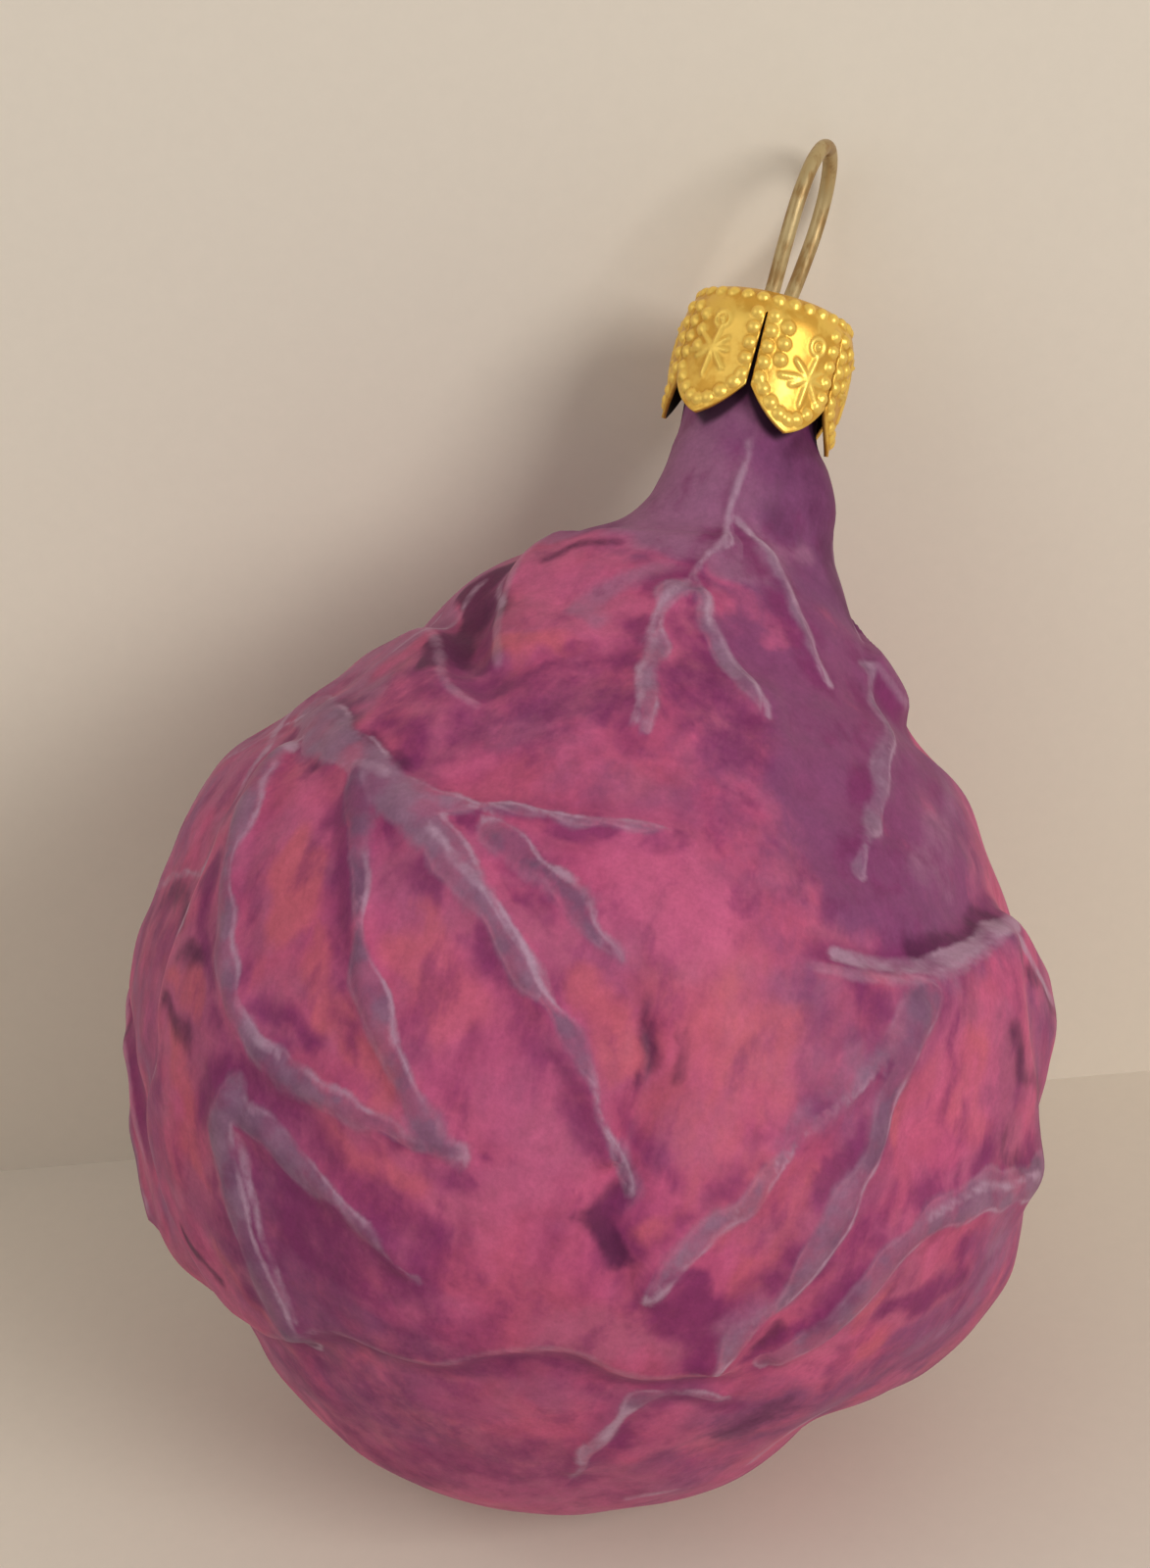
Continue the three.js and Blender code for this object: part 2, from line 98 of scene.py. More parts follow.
# Leaf rims: (rise, path). The leaf below a path that runs to the right, or to
# the left of one that runs down, lies on top of its neighbour.
RIMS = [
    (1.0, [(-36, 35), (-42, 32.5), (-50, 29.5), (-60, 25), (-66, 22.5), (-72, 20)]),
    (0.9, [(-92, 37), (-75, 32.5), (-62, 32), (-51, 33.6), (-40, 36.8), (-30, 38)]),
    (0.4, [(18, 29), (20, 35), (19, 41), (17, 47)]),
    (0.9, [(92, 27.5), (78, 27.8), (67, 28), (60, 26.8), (53, 25.2)]),
    (1.1, [(19, 50.2), (30, 50.1), (40, 48.8), (47, 47.2), (57, 44.8), (65, 43.5), (78, 46), (92, 50)]),
    (0.5, [(61, 44.5), (60, 48), (60, 51), (66, 54.5), (72, 58), (76, 63)]),
    (0.6, [
        (-57, 84), (-62, 78.6), (-66, 75), (-66, 71), (-59, 67), (-60, 61.6), (-59, 55), (-60, 49.2),
        (-64, 45.6),
    ]),
    (0.8, [(34, 75), (17, 78.2), (6, 77.5), (-3, 79.4), (-12, 82), (-28, 82), (-45, 85), (-64, 84)]),
]

# Veins: (half width at the start and the end, height, paint at the start and the
# end from 0, dark violet, to 1, pale lilac, path)
VEINS = [
    ((0.25, 0.3), 0.3, (0.9, 0.8), [(5, 10.8), (2, 13), (2, 16.7), (-5, 21.5)]),
    ((0.4, 0.4), 0.35, (0.7, 0.6), [(9, 15.4), (18, 17.2), (25, 19), (29, 24.2), (34, 27.9)]),
    ((0.7, 0.9), 0.4, (0.6, 0.7), [(-6, 23.5), (-11, 25.6), (-8, 31.3), (-5, 37.4)]),
    ((0.5, 0.55), 0.35, (0.6, 0.6), [(-4, 23.5), (1, 25.6), (11, 30.4), (13, 33.2)]),
    ((0.6, 0.75), 0.5, (0.6, 0.75), [(53, 25.2), (49, 30), (40, 35.2), (33, 40.4), (30, 43.1)]),
    ((1.7, 0.45), 0.9, (0.75, 0.25), [
        (-68, 41), (-48, 44.1), (-32, 47.1), (-22, 50), (-14, 52.7), (-6, 57), (1, 61.3), (6, 66.1),
    ]),
    ((0.8, 0.4), 0.4, (0.7, 0.5), [(-38, 45.9), (-28, 46.4), (-14, 45.3), (3, 44.4)]),
    ((1.0, 0.5), 0.4, (0.3, 0.2), [(-19, 47.3), (-11, 49.1), (-4, 51.6), (0, 53)]),
    ((0.75, 0.7), 0.7, (0.2, 0.35), [
        (-41, 45.5), (-34, 50.7), (-28, 56.4), (-25, 59.7), (-18, 63.8), (-12, 66.5),
    ]),
    ((0.9, 0.8), 0.7, (0.6, 0.35), [
        (-60, 43.5), (-55, 49.1), (-49, 55.8), (-45, 60.1), (-37, 63.9), (-26, 65.2), (-12, 66),
    ]),
    ((1.2, 1.0), 0.7, (0.55, 0.35), [(-41, 66.5), (-42, 69.8), (-39, 78.1), (-37, 84.7)]),
    ((1.2, 0.4), 0.6, (0.45, 0.6), [(-40, 67.5), (-33, 69.4), (-25, 70.9), (-14, 74.5)]),
    ((1.0, 0.9), 0.8, (0.2, 0.6), [
        (36, 51), (34, 54.5), (32, 59.5), (30, 64.4), (28, 69.1), (25, 74.4), (25, 76.7),
    ]),
    ((0.5, 0.9), 0.6, (0.6, 0.35), [(34, 53), (26, 58.9), (20, 63.9), (15, 67.9), (12, 72.3)]),
    ((1.3, 1.0), 0.7, (0.5, 0.3), [(76, 60), (59, 61.5), (45, 63.7), (39, 67.4), (35, 72.6), (32, 75)]),
    ((0.5, 0.6), 0.4, (0.7, 0.3), [(20, 91.4), (18, 84.6), (21, 79.7), (32, 78.8)]),
]
CREASES = [
    ((0.5, 1.0), -0.8, (0, 0), [(4, 55.7), (6, 60), (5, 66.5), (7, 69.2), (10, 72)]),
]

# The leaves at the back: (hub, half width in degrees, drop of the rim from the
# hub to its sides, number of veins that fan down from the hub, their length)
BACK_LEAVES = [
    ((118, 38), 34, 22, 4, 30), ((-118, 36), 32, 24, 4, 32), ((180, 27), 36, 20, 5, 26),
    ((146, 63), 32, 18, 4, 22), ((-152, 60), 34, 20, 5, 24), ((-95, 68), 24, 12, 3, 16),
]
BACK_RIM_RISE = 1.0
BACK_RIM_STEPS = 12
BACK_RIM_LIFT = 4
BACK_RIM_BOW = 1.8
BACK_VEIN_HALF = (1.2, 0.5)
BACK_VEIN_HIGH = 0.7
BACK_VEIN_TONE = (0.7, 0.3)
BACK_VEIN_PLACES = (0, 0.35, 0.7, 1)
BACK_FAN_TURN = 0.72
BACK_FAN_BOW = 0.8
BACK_FAN_ROUND = 0.3
# How far rims and veins at the back sway from a plain curve, and how quickly
RIM_SWAY_ACROSS = (1.6, 6)
RIM_SWAY_DOWN = (0.9, 8)
FAN_SWAY = (2.2, 9)
FAN_SWAY_DOWN = 5
FAN_UNEVEN = (0.15, 7)

# Seeded paint on the back leaves: ranges of its strength and half width, and its
# places down a leaf, from 0 at the hub to 1 at the foot
BACK_PAINT_SEED = 11
LIGHT_PAINTS = ("coral", "pink", "coral")
LIGHT_STRENGTH = (0.5, 0.9)
LIGHT_HALF = (0.9, 1.7)
LIGHT_START = (0.25, 0.4)
LIGHT_LENGTH = (0.15, 0.4)
DARK_PAINTS = ("wine", "plum", "purple")
DARK_STRENGTH = (0.5, 0.85)
DARK_HALF = (0.5, 1.1)
DARK_PLACES = (0.08, 0.22)
DARK_ASIDE = (-0.1, 0.1)
FOOT_STRENGTH = (0.4, 0.8)
FOOT_HALF = (0.8, 1.8)
FOOT_START = 0.85
FOOT_END = (0.95, 1.15)
HUB_DAB = (0.7, 1.3)

# Leaf rims and veins: how far their relief reaches, and the shares of their
# length over which it fades in at the ends
RIM_REACH = 7.0
RIM_WINDOW = 3 * RIM_REACH
RIM_GROOVE = 1.8
RIM_GROOVE_DEEP = 0.35
RIM_ENDS = (0.0, 0.12)
VEIN_ENDS = (-0.02, 0.08)
VEIN_CREST = 2.3
VEIN_RISE = 0.75
VEIN_FOOT = 0.25
VEIN_WINDOW = 4
# Relief fades in below the cap, and out before the flat spot
RELIEF_TOP = (5.0, 9.0)
RELIEF_END = (8.0, 1.0)
STROKE_STEPS = 5

# Seeded unevenness: number of waves, and the shortest and longest wave
WAVES = 28
RIPPLE_SEED = 5
RIPPLE_WAVES = (4, 14)
DRIFT_SEED = 8
DRIFT_WAVES = (2.5, 9)

# Paint: the softness and the drift of a stroke, each as a least value and a share
# of its half width, and where its soft edge starts and ends
STROKE_SOFT = (0.5, 0.45)
STROKE_DRIFT = (0.1, 0.5)
STROKE_DRIFT_MOST = 0.8
STROKE_EDGE = (-1.3, 0.8)
STROKE_WINDOW = 4
NO_PAINT = -9.0
MIDDLE_TONE = 0.5
VEIN_DRIFT = 0.22
VEIN_UNEVEN = 0.2
VEIN_POINT = 0.35
VEIN_TIP = (0.7, 1)
VEIN_PAINT_WINDOW = 6
LINE_WINDOW = 3
# Shade under a leaf rim and light on it: where each starts and ends across the rim
RIM_PAINT_WINDOW = 5
RIM_PAINT_ENDS = (-0.01, 0.08)
RIM_PAINT_POWER = 1.5
RIM_SHADE = ((-2.8, -0.4), (-0.2, 0.6))
RIM_LIGHT = ((-0.3, 0.5), (0.5, 1.4))

# Brush strokes on the leaves for each paint: (strength, half width, path)
STROKES = {
    "purple": [
        (0.5, 3.5, [(16, 47), (20, 52), (28, 56)]),
        (1.0, 5.5, [(84, 12), (82, 16), (79, 21), (57, 29.8), (51, 37.1)]),
        (1.0, 4.5, [(27, 22), (25, 33), (28, 40.3), (35, 44), (48, 43.5)]),
        (0.45, 4.5, [(4, 31.7), (9, 39.4), (12, 44.9)]),
        (0.4, 4.0, [(-17, 38.9), (-4, 44.3)]),
        (0.5, 4.0, [(-75, 54.7), (-66, 64), (-64, 73.1)]),
        (0.75, 4.5, [(-34, 75), (-28, 80.3), (-36, 80.8)]),
        (0.6, 4.5, [(-50, 90), (-31, 91), (-4, 95), (20, 94), (40, 90)]),
        (0.7, 4.0, [(43, 80.8), (56, 75), (64, 67)]),
        (0.55, 3.0, [(68, 50.5), (72, 59.1), (71, 65.7)]),
        (0.7, 2.6, [(26, 44.3), (33, 45.7), (43, 46.6), (58, 42.8)]),
        (0.8, 5.5, [(32, 27), (36, 34), (36, 40)]),
        (0.5, 2.5, [(38, 52), (30, 56), (33, 60)]),
        (0.5, 3.2, [(58, 24), (60, 32), (56, 39)]),
        (0.5, 1.2, [(16, 24.9), (25, 22.5), (28, 27.9), (20, 31), (13, 28.6)]),
        (0.6, 1.0, [(75, 50.1), (69, 51.5)]),
        (0.55, 2.2, [(-20, 85.4), (-11, 85.9), (-3, 83.3)]),
        (0.6, 1.0, [(51, 76.9), (59, 75.9), (71, 74.8)]),
        (0.5, 1.4, [(22, 80.5), (31, 78.7), (36, 79.4)]),
        (0.5, 2.2, [(-75, 50), (-72, 60), (-76, 68)]),
        (0.4, 2.5, [(-60, 87), (-52, 90)]),
    ],
    "wine": [
        (0.65, 3.5, [(-38, 66), (-26, 71), (-16, 73)]),
        (0.45, 3.0, [(-44, 39), (-38, 44)]),
        (0.5, 3.0, [(-18, 31), (-3, 33), (8, 36)]),
        (0.55, 2.2, [(-48, 35), (-32, 37), (-12, 36)]),
        (0.5, 3.0, [(-36, 73), (-24, 77), (-10, 79)]),
        (0.4, 5.0, [(-31, 89), (-4, 91), (20, 90), (31, 86)]),
        (0.5, 2.5, [(-43, 74.2), (-40, 79)]),
        (0.6, 0.7, [(-33, 35.7), (-25, 33.8), (-11, 31.5)]),
        (0.6, 0.7, [(-22, 34.9), (-14, 35.6), (-7, 36.2)]),
        (0.5, 1.6, [(-40, 40.7), (-36, 39), (-28, 39.8)]),
        (0.7, 1.4, [(-5, 27.7), (1, 32)]),
        (0.6, 1.0, [(5, 29.5), (7, 31)]),
        (0.6, 0.5, [(-18, 45.9), (-13, 45.5)]),
        (0.75, 0.8, [(-55, 54.8), (-53, 57.9), (-49, 60.6)]),
        (0.8, 0.9, [(-39, 60.4), (-36, 61.2), (-31, 62.3)]),
        (0.6, 0.3, [(-35, 51.5), (-32, 54.3), (-29, 57)]),
        (0.5, 0.6, [(-17, 54.1), (-14, 55.2)]),
        (0.8, 2.0, [(-32, 71.2), (-28, 74.6), (-21, 76.4)]),
        (0.5, 1.0, [(-14, 76), (-10, 77.4)]),
        (0.6, 1.0, [(-29, 82), (-21, 82), (-14, 80.7)]),
        (0.6, 2.4, [(-46, 87.7), (-47, 94.8), (-35, 98.3)]),
        (0.55, 2.0, [(-40, 97.4), (-6, 94.2), (13, 89.7)]),
        (0.6, 1.2, [(-11, 83), (7, 79.3), (13, 78.9)]),
        (0.8, 1.1, [(28, 51.2), (31, 52)]),
        (0.65, 0.5, [(44, 49.4), (42, 52), (41, 53.9), (43, 55.8), (43, 57.6)]),
        (0.5, 0.6, [(22, 55.4), (22, 56.9)]),
        (0.6, 1.0, [(6, 60.8), (8, 63.5), (10, 63.8)]),
        (0.65, 1.2, [(9, 67.6), (9, 69.6), (11, 68.7)]),
        (0.85, 1.4, [(15, 73), (19, 73.9), (20, 71.6), (16, 71.4)]),
        (0.6, 0.7, [(34, 64.9), (31, 67.7)]),
        (0.8, 0.5, [(36, 68.2), (35, 70.1), (33, 71.4)]),
        (0.5, 0.7, [(37, 63.4), (34, 65.5)]),
        (0.4, 1.0, [(44, 58.7), (53, 60)]),
        (0.8, 1.2, [(54, 67), (49, 68.6)]),
        (0.5, 0.7, [(65, 62.3), (67, 61)]),
        (0.6, 0.7, [(41, 73.1), (45, 75.6)]),
        (0.4, 0.5, [(-5, 72.3), (-2, 74.7)]),
        (0.4, 0.6, [(-12, 70), (-8, 73.5), (-4, 75.8)]),
        (0.5, 1.2, [(60, 31.1), (58, 34.3)]),
        (0.7, 1.6, [(-41, 41.8), (-38, 44.2), (-36, 47.3)]),
        (0.5, 1.4, [(-39, 35.8), (-39, 40)]),
        (0.35, 1.6, [(6, 51.7), (8, 54.9)]),
    ],
    "plum": [
        # painted shade on the neck's right side, under the cap
        (0.6, 3.2, [(62, 8.5), (66, 13), (74, 17)]),
        (1.0, 1.4, [(-66, 26.2), (-58, 28.5), (-52, 31.5), (-46, 34.5)]),
        (0.8, 0.3, [(-50, 24.1), (-45, 22.7), (-37, 21)]),
        (0.75, 0.55, [(-59, 40.3), (-50, 42.1), (-41, 44.4), (-36, 44.7)]),
        (0.6, 0.5, [(-49, 46.2)]),
        (0.7, 0.8, [(-55, 64.3), (-50, 65)]),
        (0.7, 0.7, [(-55, 59.3), (-52, 60.3)]),
        (0.6, 0.7, [(-69, 56.6), (-60, 57.7)]),
        (0.85, 0.5, [(-57, 77.5), (-52, 80.2)]),
        (0.6, 0.6, [(60, 46.6), (68, 47.8), (78, 49.6), (90, 52)]),
        (0.6, 0.8, [(55, 51.7), (59, 53.4), (66, 54.9), (72, 58), (76, 62)]),
        (0.7, 0.5, [(57, 58.1), (61, 59.5), (68, 59.8)]),
        (0.95, 0.85, [(4, 66.7), (6, 68.4), (8.5, 70.3)]),
        (0.75, 0.9, [(30, 72.4), (30, 74)]),
        (0.75, 0.9, [(37, 47.5), (45, 46.4), (58, 43.4)]),
        (0.45, 1.6, [(39, 83.8), (41, 80.9), (44, 79.4)]),
        (0.75, 0.45, [(4, 55.4), (5, 57.9), (5, 60.1)]),
        (0.6, 0.45, [(8, 56.6), (9, 58.5)]),
    ],
    "coral": [
        (0.5, 4.0, [(9, 53), (14, 58.2), (18, 62.3)]),
        (0.8, 1.3, [(-38, 32.9), (-33, 31.3), (-25, 31)]),
        (0.95, 1.5, [(-42, 53), (-41, 55.3), (-40, 56.8)]),
        (0.8, 1.1, [(-34, 56.4), (-29, 60.5), (-23, 62.7), (-21, 63.6)]),
        (0.8, 1.0, [(-27, 66.8), (-23, 68), (-18, 68.2)]),
        (0.6, 0.5, [(-48, 77.1), (-46, 79), (-43, 82.6)]),
        (0.85, 1.3, [(-1, 54.9), (1, 57), (2, 59.1)]),
        (0.8, 0.8, [(12, 66.7), (11, 67.7)]),
        (0.6, 2.4, [(10, 52.3), (14, 52.9), (13, 55.9), (17, 57.7)]),
        (0.5, 0.8, [(19, 77.6), (25, 76.7)]),
        (0.6, 1.0, [(44, 73), (48, 72)]),
        (0.7, 1.0, [(41, 70), (43, 68.8)]),
        (0.7, 1.6, [(47, 53.7), (46, 56.8), (49, 58.4)]),
        (0.7, 1.0, [(37, 55.7), (37, 58.7)]),
        (0.6, 1.2, [(22, 62.4), (25, 63.9), (24, 66.4)]),
        (0.7, 0.8, [(23, 67.2), (23, 69.8)]),
        (0.7, 0.9, [(-55, 61.5), (-50, 62.9)]),
        (0.7, 1.0, [(-51, 66.1), (-49, 68.5), (-48, 71.3)]),
        (0.7, 1.5, [(-21, 54.8), (-19, 57), (-16, 59)]),
    ],
    "pink": [
        (0.45, 3.5, [(-6, 86), (8, 87.5), (18, 87)]),
        (0.6, 5.0, [(-45, 97), (-10, 98), (30, 93)]),
        (0.8, 3.5, [(-1, 46.8), (6, 49.2)]),
        (0.5, 5.0, [(-12, 58.9), (-6, 66.5), (-12, 68)]),
        (0.5, 3.0, [(40, 54.4), (48, 58)]),
        (0.55, 3.0, [(-50, 25.5), (-27, 28), (-12, 27)]),
        (0.8, 1.6, [(3, 47.5), (4, 48.7)]),
        (0.6, 1.2, [(4, 46), (7, 49), (5, 51.1)]),
        (0.7, 0.9, [(-32, 43), (-26, 42.2)]),
        (0.6, 0.6, [(-37, 36.6)]),
        (0.8, 1.2, [(-49, 39.2), (-45, 41.2)]),
        (0.6, 1.3, [(4, 19.6), (14, 23.3), (19, 24.6)]),
        (0.6, 1.4, [(-40, 22.8), (-31, 21), (-11, 22.5)]),
        (0.7, 1.0, [(-50, 47.1), (-44, 48.9), (-38, 51)]),
        (0.95, 1.2, [(38, 72.9), (39, 75.5)]),
        (0.6, 1.0, [(-22, 78.6), (-16, 77.6)]),
        (0.6, 1.4, [(25, 83.8), (26, 81), (28, 87)]),
        (0.5, 1.2, [(-5, 85), (-1, 84.1)]),
        (0.5, 0.8, [(51, 35.6), (49, 38.6)]),
        (0.6, 0.6, [(40, 61.3), (42, 62.4)]),
    ],
    "mauve": [
        (0.75, 1.8, [(-52, 43), (-61, 39), (-67, 33), (-74, 28)]),
        (0.9, 4.5, [(-62, 9), (-35, 12), (-27, 16)]),
        (0.6, 2.0, [(4, 10.5), (14, 13), (18, 16)]),
        (1.0, 3.0, [(-6, 16), (8, 17.5), (16, 18)]),
        (0.7, 2.6, [(-80, 22), (-77, 32), (-74, 38), (-80, 46), (-86, 54)]),
        (0.45, 3.0, [(-67, 40.7), (-67, 48.4), (-84, 54.9)]),
        (0.5, 1.0, [(-77, 22.3), (-51, 20.6), (-34, 19)]),
        (0.5, 1.6, [(-83, 48.6), (-56, 51.2)]),
        (0.6, 0.9, [(28, 54.2), (28, 56), (25, 58.5), (23, 60.8)]),
        (0.6, 1.0, [(24, 73.4), (25, 71.1), (27, 69.4)]),
        (0.6, 1.0, [(57, 63.6), (69, 65.6), (64, 68.4), (59, 72.2)]),
        (0.8, 0.6, [(4, 63.6), (6, 65.9)]),
        (0.6, 0.9, [(38, 50.4), (42, 50)]),
        (0.7, 1.6, [(-26, 26), (-16, 23)]),
        (0.6, 1.3, [(43, 41.3), (51, 39.2), (64, 36.2)]),
        (0.55, 1.2, [(-83, 57), (-74, 63), (-66, 69), (-65, 75), (-70, 82)]),
    ],
}

# Thin pale lines along leaf edges and beside veins: (half width, path)
PALE_LINES = [
    (0.25, [
        (4, 8.8), (8, 10), (5, 11.2), (3, 13), (1, 16.5), (-4, 21), (-8, 24), (-12, 26.5), (-9.5, 31.5),
        (-7, 37),
    ]),
    (0.25, [(-5, 22.5), (2, 25.2), (12, 30), (15, 33.5)]),
    (0.28, [(1, 15.5), (9, 15.2), (19, 17), (27, 19.2), (31, 24), (36, 28.2)]),
    (0.3, [(-86, 30), (-79, 36), (-78, 41)]),
    (0.3, [(-68, 41.5), (-75, 46), (-82, 50), (-86, 56)]),
    (0.35, [(-83, 40.9), (-68, 45.1), (-63, 48.1), (-61, 50.4), (-60, 53.2), (-62, 54.7)]),
    (0.3, [(-62, 54.7), (-83, 56.7)]),
    (0.35, [(-61, 54.6), (-59, 57.1), (-60, 59.1), (-60, 61.6), (-60, 64.8), (-60, 67.9)]),
    (0.4, [(-70, 70.7), (-67, 73.7), (-66, 76.4), (-62, 78.8), (-61, 81.8), (-57, 83.9)]),
    (0.25, [(-48, 29.4), (-60, 26.2), (-64, 23.4)]),
    (0.3, [(-41, 62.2), (-35, 64)]),
    (0.3, [(80, 15.1), (76, 19.3), (61, 22.9)]),
    (0.7, [(25, 49.5), (32, 49.3), (42, 48.3), (53, 45.8), (64, 43.8)]),
    (0.3, [(69, 60.3), (52, 61.6), (44, 63.5)]),
    (0.45, [(18, 88.9), (18, 84.7), (19, 82)]),
    (0.4, [(63, 86.7), (57, 82.6), (55, 79.8)]),
    (0.4, [(43, 93.2), (49, 90.4)]),
    (0.4, [(63, 45.2), (70, 47.6), (80, 49.5)]),
    (0.25, [(-40, 69.2), (-38, 72.8), (-36, 77.1), (-35, 81.3)]),
    (0.3, [(-27, 48.3), (-21, 50.3), (-17, 51), (-12, 52.9), (-8, 54.7), (-6, 56.7)]),
    (0.3, [(-77, 30), (-82, 33), (-83, 37.5)]),
    (0.3, [(-68, 26.9), (-63, 32), (-66, 37.4)]),
    (0.5, [(-61, 45.7), (-56, 45.3)]),
    (0.45, [(-41, 45.9), (-36, 45.9)]),
]

# Cap outline from the middle of its top to the petals' points: (radius, depth)
CAP_OUTLINE = [
    (0, -CAP_DOME), (2.4, -CAP_DOME), (4.1, -CAP_DOME), (4.75, -0.1), (5.3, 0.4), (5.7, 1.1), (5.9, 2.0),
    (5.95, 3.5), (6.05, 6.5), (6.3, 8.95),
]
CAP_PETALS = 6
CAP_TURN = -37
CAP_WAIST = 5.95
PETAL_SHOULDER = 6.4
PETAL_TIP = 8.95
PETAL_BOW = 2.0
SLIT_TOP = 1.4
SLIT_WIDTHS = (0.14, 0.34)
HOLE_RADIUS = 0.86
HOLE_SIDES = 32
HOLE_LEVELS = (-1.2, 0.8)
CAP_ROWS = 96
CAP_COLUMNS = 54

# Stamped marks on a petal: (distance to the right of its middle, depth), and
# how far the stamp has slipped on each petal
STAR_PLACE = (0.0, 5.0)
STAR_RAYS = [
    (78, 1.7), (36, 1.2), (-5, 1.1), (-52, 1.7), (-98, 1.9), (-150, 1.4), (-172, 2.0), (140, 1.5),
]
RAY_HALF = 0.24
RAY_TAPER = 0.1
RING_PLACE = (0.2, 2.7)
RING_RADIUS = 0.55
RING_HALF = 0.14
RING_SHARE = 0.8
RING_DOT = 0.26
STAMP_SLIPS = [(0, -0.6), (0.8, 0), (0.3, -0.3), (-0.3, 0), (0.5, -0.4), (0.1, 0.2)]
# Beads in rows down a petal's sides, round its point, in an inner row on its left
# and on the cap's shoulder
BEAD_PITCH = 1.08
BEAD_RADIUS = 0.46
BEAD_ROUND = 1.3
BEAD_INSET = 0.62
SIDE_BEADS = (SLIT_TOP + 0.1, PETAL_SHOULDER + 0.2)
EDGE_BEADS = (0.24, 0.5, 0.76)
EDGE_BEAD_INSETS = (0.6, 1.3)
POINT_BEAD_INSET = 1.5
INNER_BEADS = (2.1, 3.2, 4.3)
SHOULDER_BEADS = 5
SHOULDER_BEAD_DEPTH = 0.3
# How far the point of each petal is bent in towards the neck, and from how far
# above its shoulder
POINTS_IN = [0.0, 0.0, 0.35, 0.2, 0.3, 0.5]
BEND_START = 2
# Points closer than this become one
CAP_MERGE = 0.004
WIRE_MERGE = 0.0005

# Hanger: half of the wire, from the top of the loop to the end of a leg, as
# (distance from the middle, height over the cap's shoulder)
LOOP_HEIGHT = 11.2
WIRE_THICK = 1.05
LEG_SPREAD = 2.77
HANGER_TURN = 76.4
HALF_WIRE = [
    (0, LOOP_HEIGHT + WIRE_THICK / 2), (1.9, LOOP_HEIGHT), (3.4, 9.6), (4.05, 7.1), (3.7, 4.1),
    (3.0, 1.3), (LEG_SPREAD, 0), (LEG_SPREAD, -3.5), (LEG_SPREAD, -7.5), (3.3, -11.5), (5.0, -16),
    (6.9, -21), (8.3, -27),
]
WIRE_SIDES = 20
WIRE_SPAN_STEPS = 14
# How far the rings of a rounded end have opened, from its tip, and its bulge
WIRE_END = (0.0, 0.6, 0.9)
WIRE_BULGE = 0.5

# Camera: what it looks at, how far off it is, and how it is turned
CAMERA_AIM = (-5.9, 0, -46.0)
CAMERA_DISTANCE = 200
CAMERA_ELEVATION = -2
CAMERA_ROLL = 14.5
CAMERA_LENS = 45
CAMERA_SENSOR = 24
CAMERA_CLIP = (10, 10000)

# Backdrop: how far it reaches, its steps along and across, and where round a
# point over the ornament's foot it fades out
BACKDROP_REACH = 400
BACKDROP_STEPS = 12
BACKDROP_COLUMNS = 21
FADE_OVER_FOOT = 40
FADE = (130, 240)

# Lights: name, way to the camera's right, up and back, distance, size, tint
LIGHTS = [
    ("key", (0.7, 0.12, 0.9), 800, 340, (1, 0.985, 0.97)),
    ("fill", (-0.9, 0.3, 0.8), 500, 400, (0.97, 0.98, 1)),
    ("rear", (0.2, 0.3, -0.9), 700, 900, (1, 1, 1)),
]
REAR_PER_FILL = 2

# Ragged edges of paint and wear: (scale, break, low, high)
BRUSH_EDGE = (0.55, 0.95, 0.18, 0.9)
NECK_EDGE = (0.3, 0.6, 0.2, 0.75)
RIM_SHADE_EDGE = (0.5, 0.6, 0.1, 0.9)
RIM_LIGHT_EDGE = (0.6, 1.0, 0.3, 1.0)
BESIDE_VEIN_EDGE = (0.7, 0.8, 0.15, 1.0)
VEIN_EDGE = (0.6, 1.2, -0.3, 0.5)
VEIN_LIGHT_EDGE = (1.1, 0.6, -0.1, 0.25)
PALE_LINE_EDGE = (1, 0.6, -0.2, 0.3)
# Lighter patches on the gold are a painted reflection
GOLD_REFLECTION_EDGE = (1.5, 0.5, 0.4, 0.65)
TARNISH_EDGE = (1.0, 0.7, 0.4, 0.65)
# Fine grain: (scale, strength, bump, depth of the bump)
PAINT_GRAIN = (3.5, 0.35, 0.15, 0.1)
SILVER_GRAIN = (2.0, 0.3, 0.1, 0.1)
GOLD_GRAIN = (5.0, 0.3, 0.25, 0.05)
INSIDE_SHADE_GRAIN = (4.0, 0.4, 0.2, 0.05)
BRONZE_GRAIN = (3.0, 0.4, 0.3, 0.06)
# Cover of the brushed paints, those under the wine streaks and those over them
FIRST_COATS = (("purple", 0.85), ("coral", 0.8), ("pink", 0.8), ("mauve", 0.8))
LAST_COATS = (("wine", 0.9), ("plum", 0.88))
PATCHES = (0.38, 0.6)
# Streaks all over: the noise where they start and are full, least and most cover
PINK_STREAKS = (0.48, 0.32, 0, 0.5)
WINE_STREAKS = (0.52, 0.7, 0, 0.5)
# Where down the outline the neck's purple fades in from the leaves, and is full
NECK_PURPLE = (26, 17)
# Where the dark paint beside a vein starts and is full, and ends on the vein; it is heavier on the vein's
# lower side, as painted shade
BESIDE_VEIN = ((-3.0, -0.3), (0.3, -0.05))
VEIN_TONES = (0.55, 1.35)
# The pale line on a vein, strongest on its upper side as a painted highlight: how far inside the vein, and
# its half width
VEIN_LIGHT = (0.1, 0.2)
# Painted shadow of the cap on the neck: where it starts and is full, and its near-black colour
CAP_SHADE = (-0.8, -0.1)
CAP_SHADOW_PAINT = "#240c1e"
SILVER = ("#9a9a9c", "#6e6a68")


def from_srgb(code):
    """The linear colour of a hexadecimal screen colour."""
    parts = [int(code[i:i + 2], 16) / 255 for i in (1, 3, 5)]
    return tuple(p / 12.92 if p <= 0.04045 else ((p + 0.055) / 1.055) ** 2.4 for p in parts)


def colour_property(name, description, code):
    return FloatVectorProperty(
        name=name, description=description, default=from_srgb(code), subtype="COLOR", min=0, max=1
    )


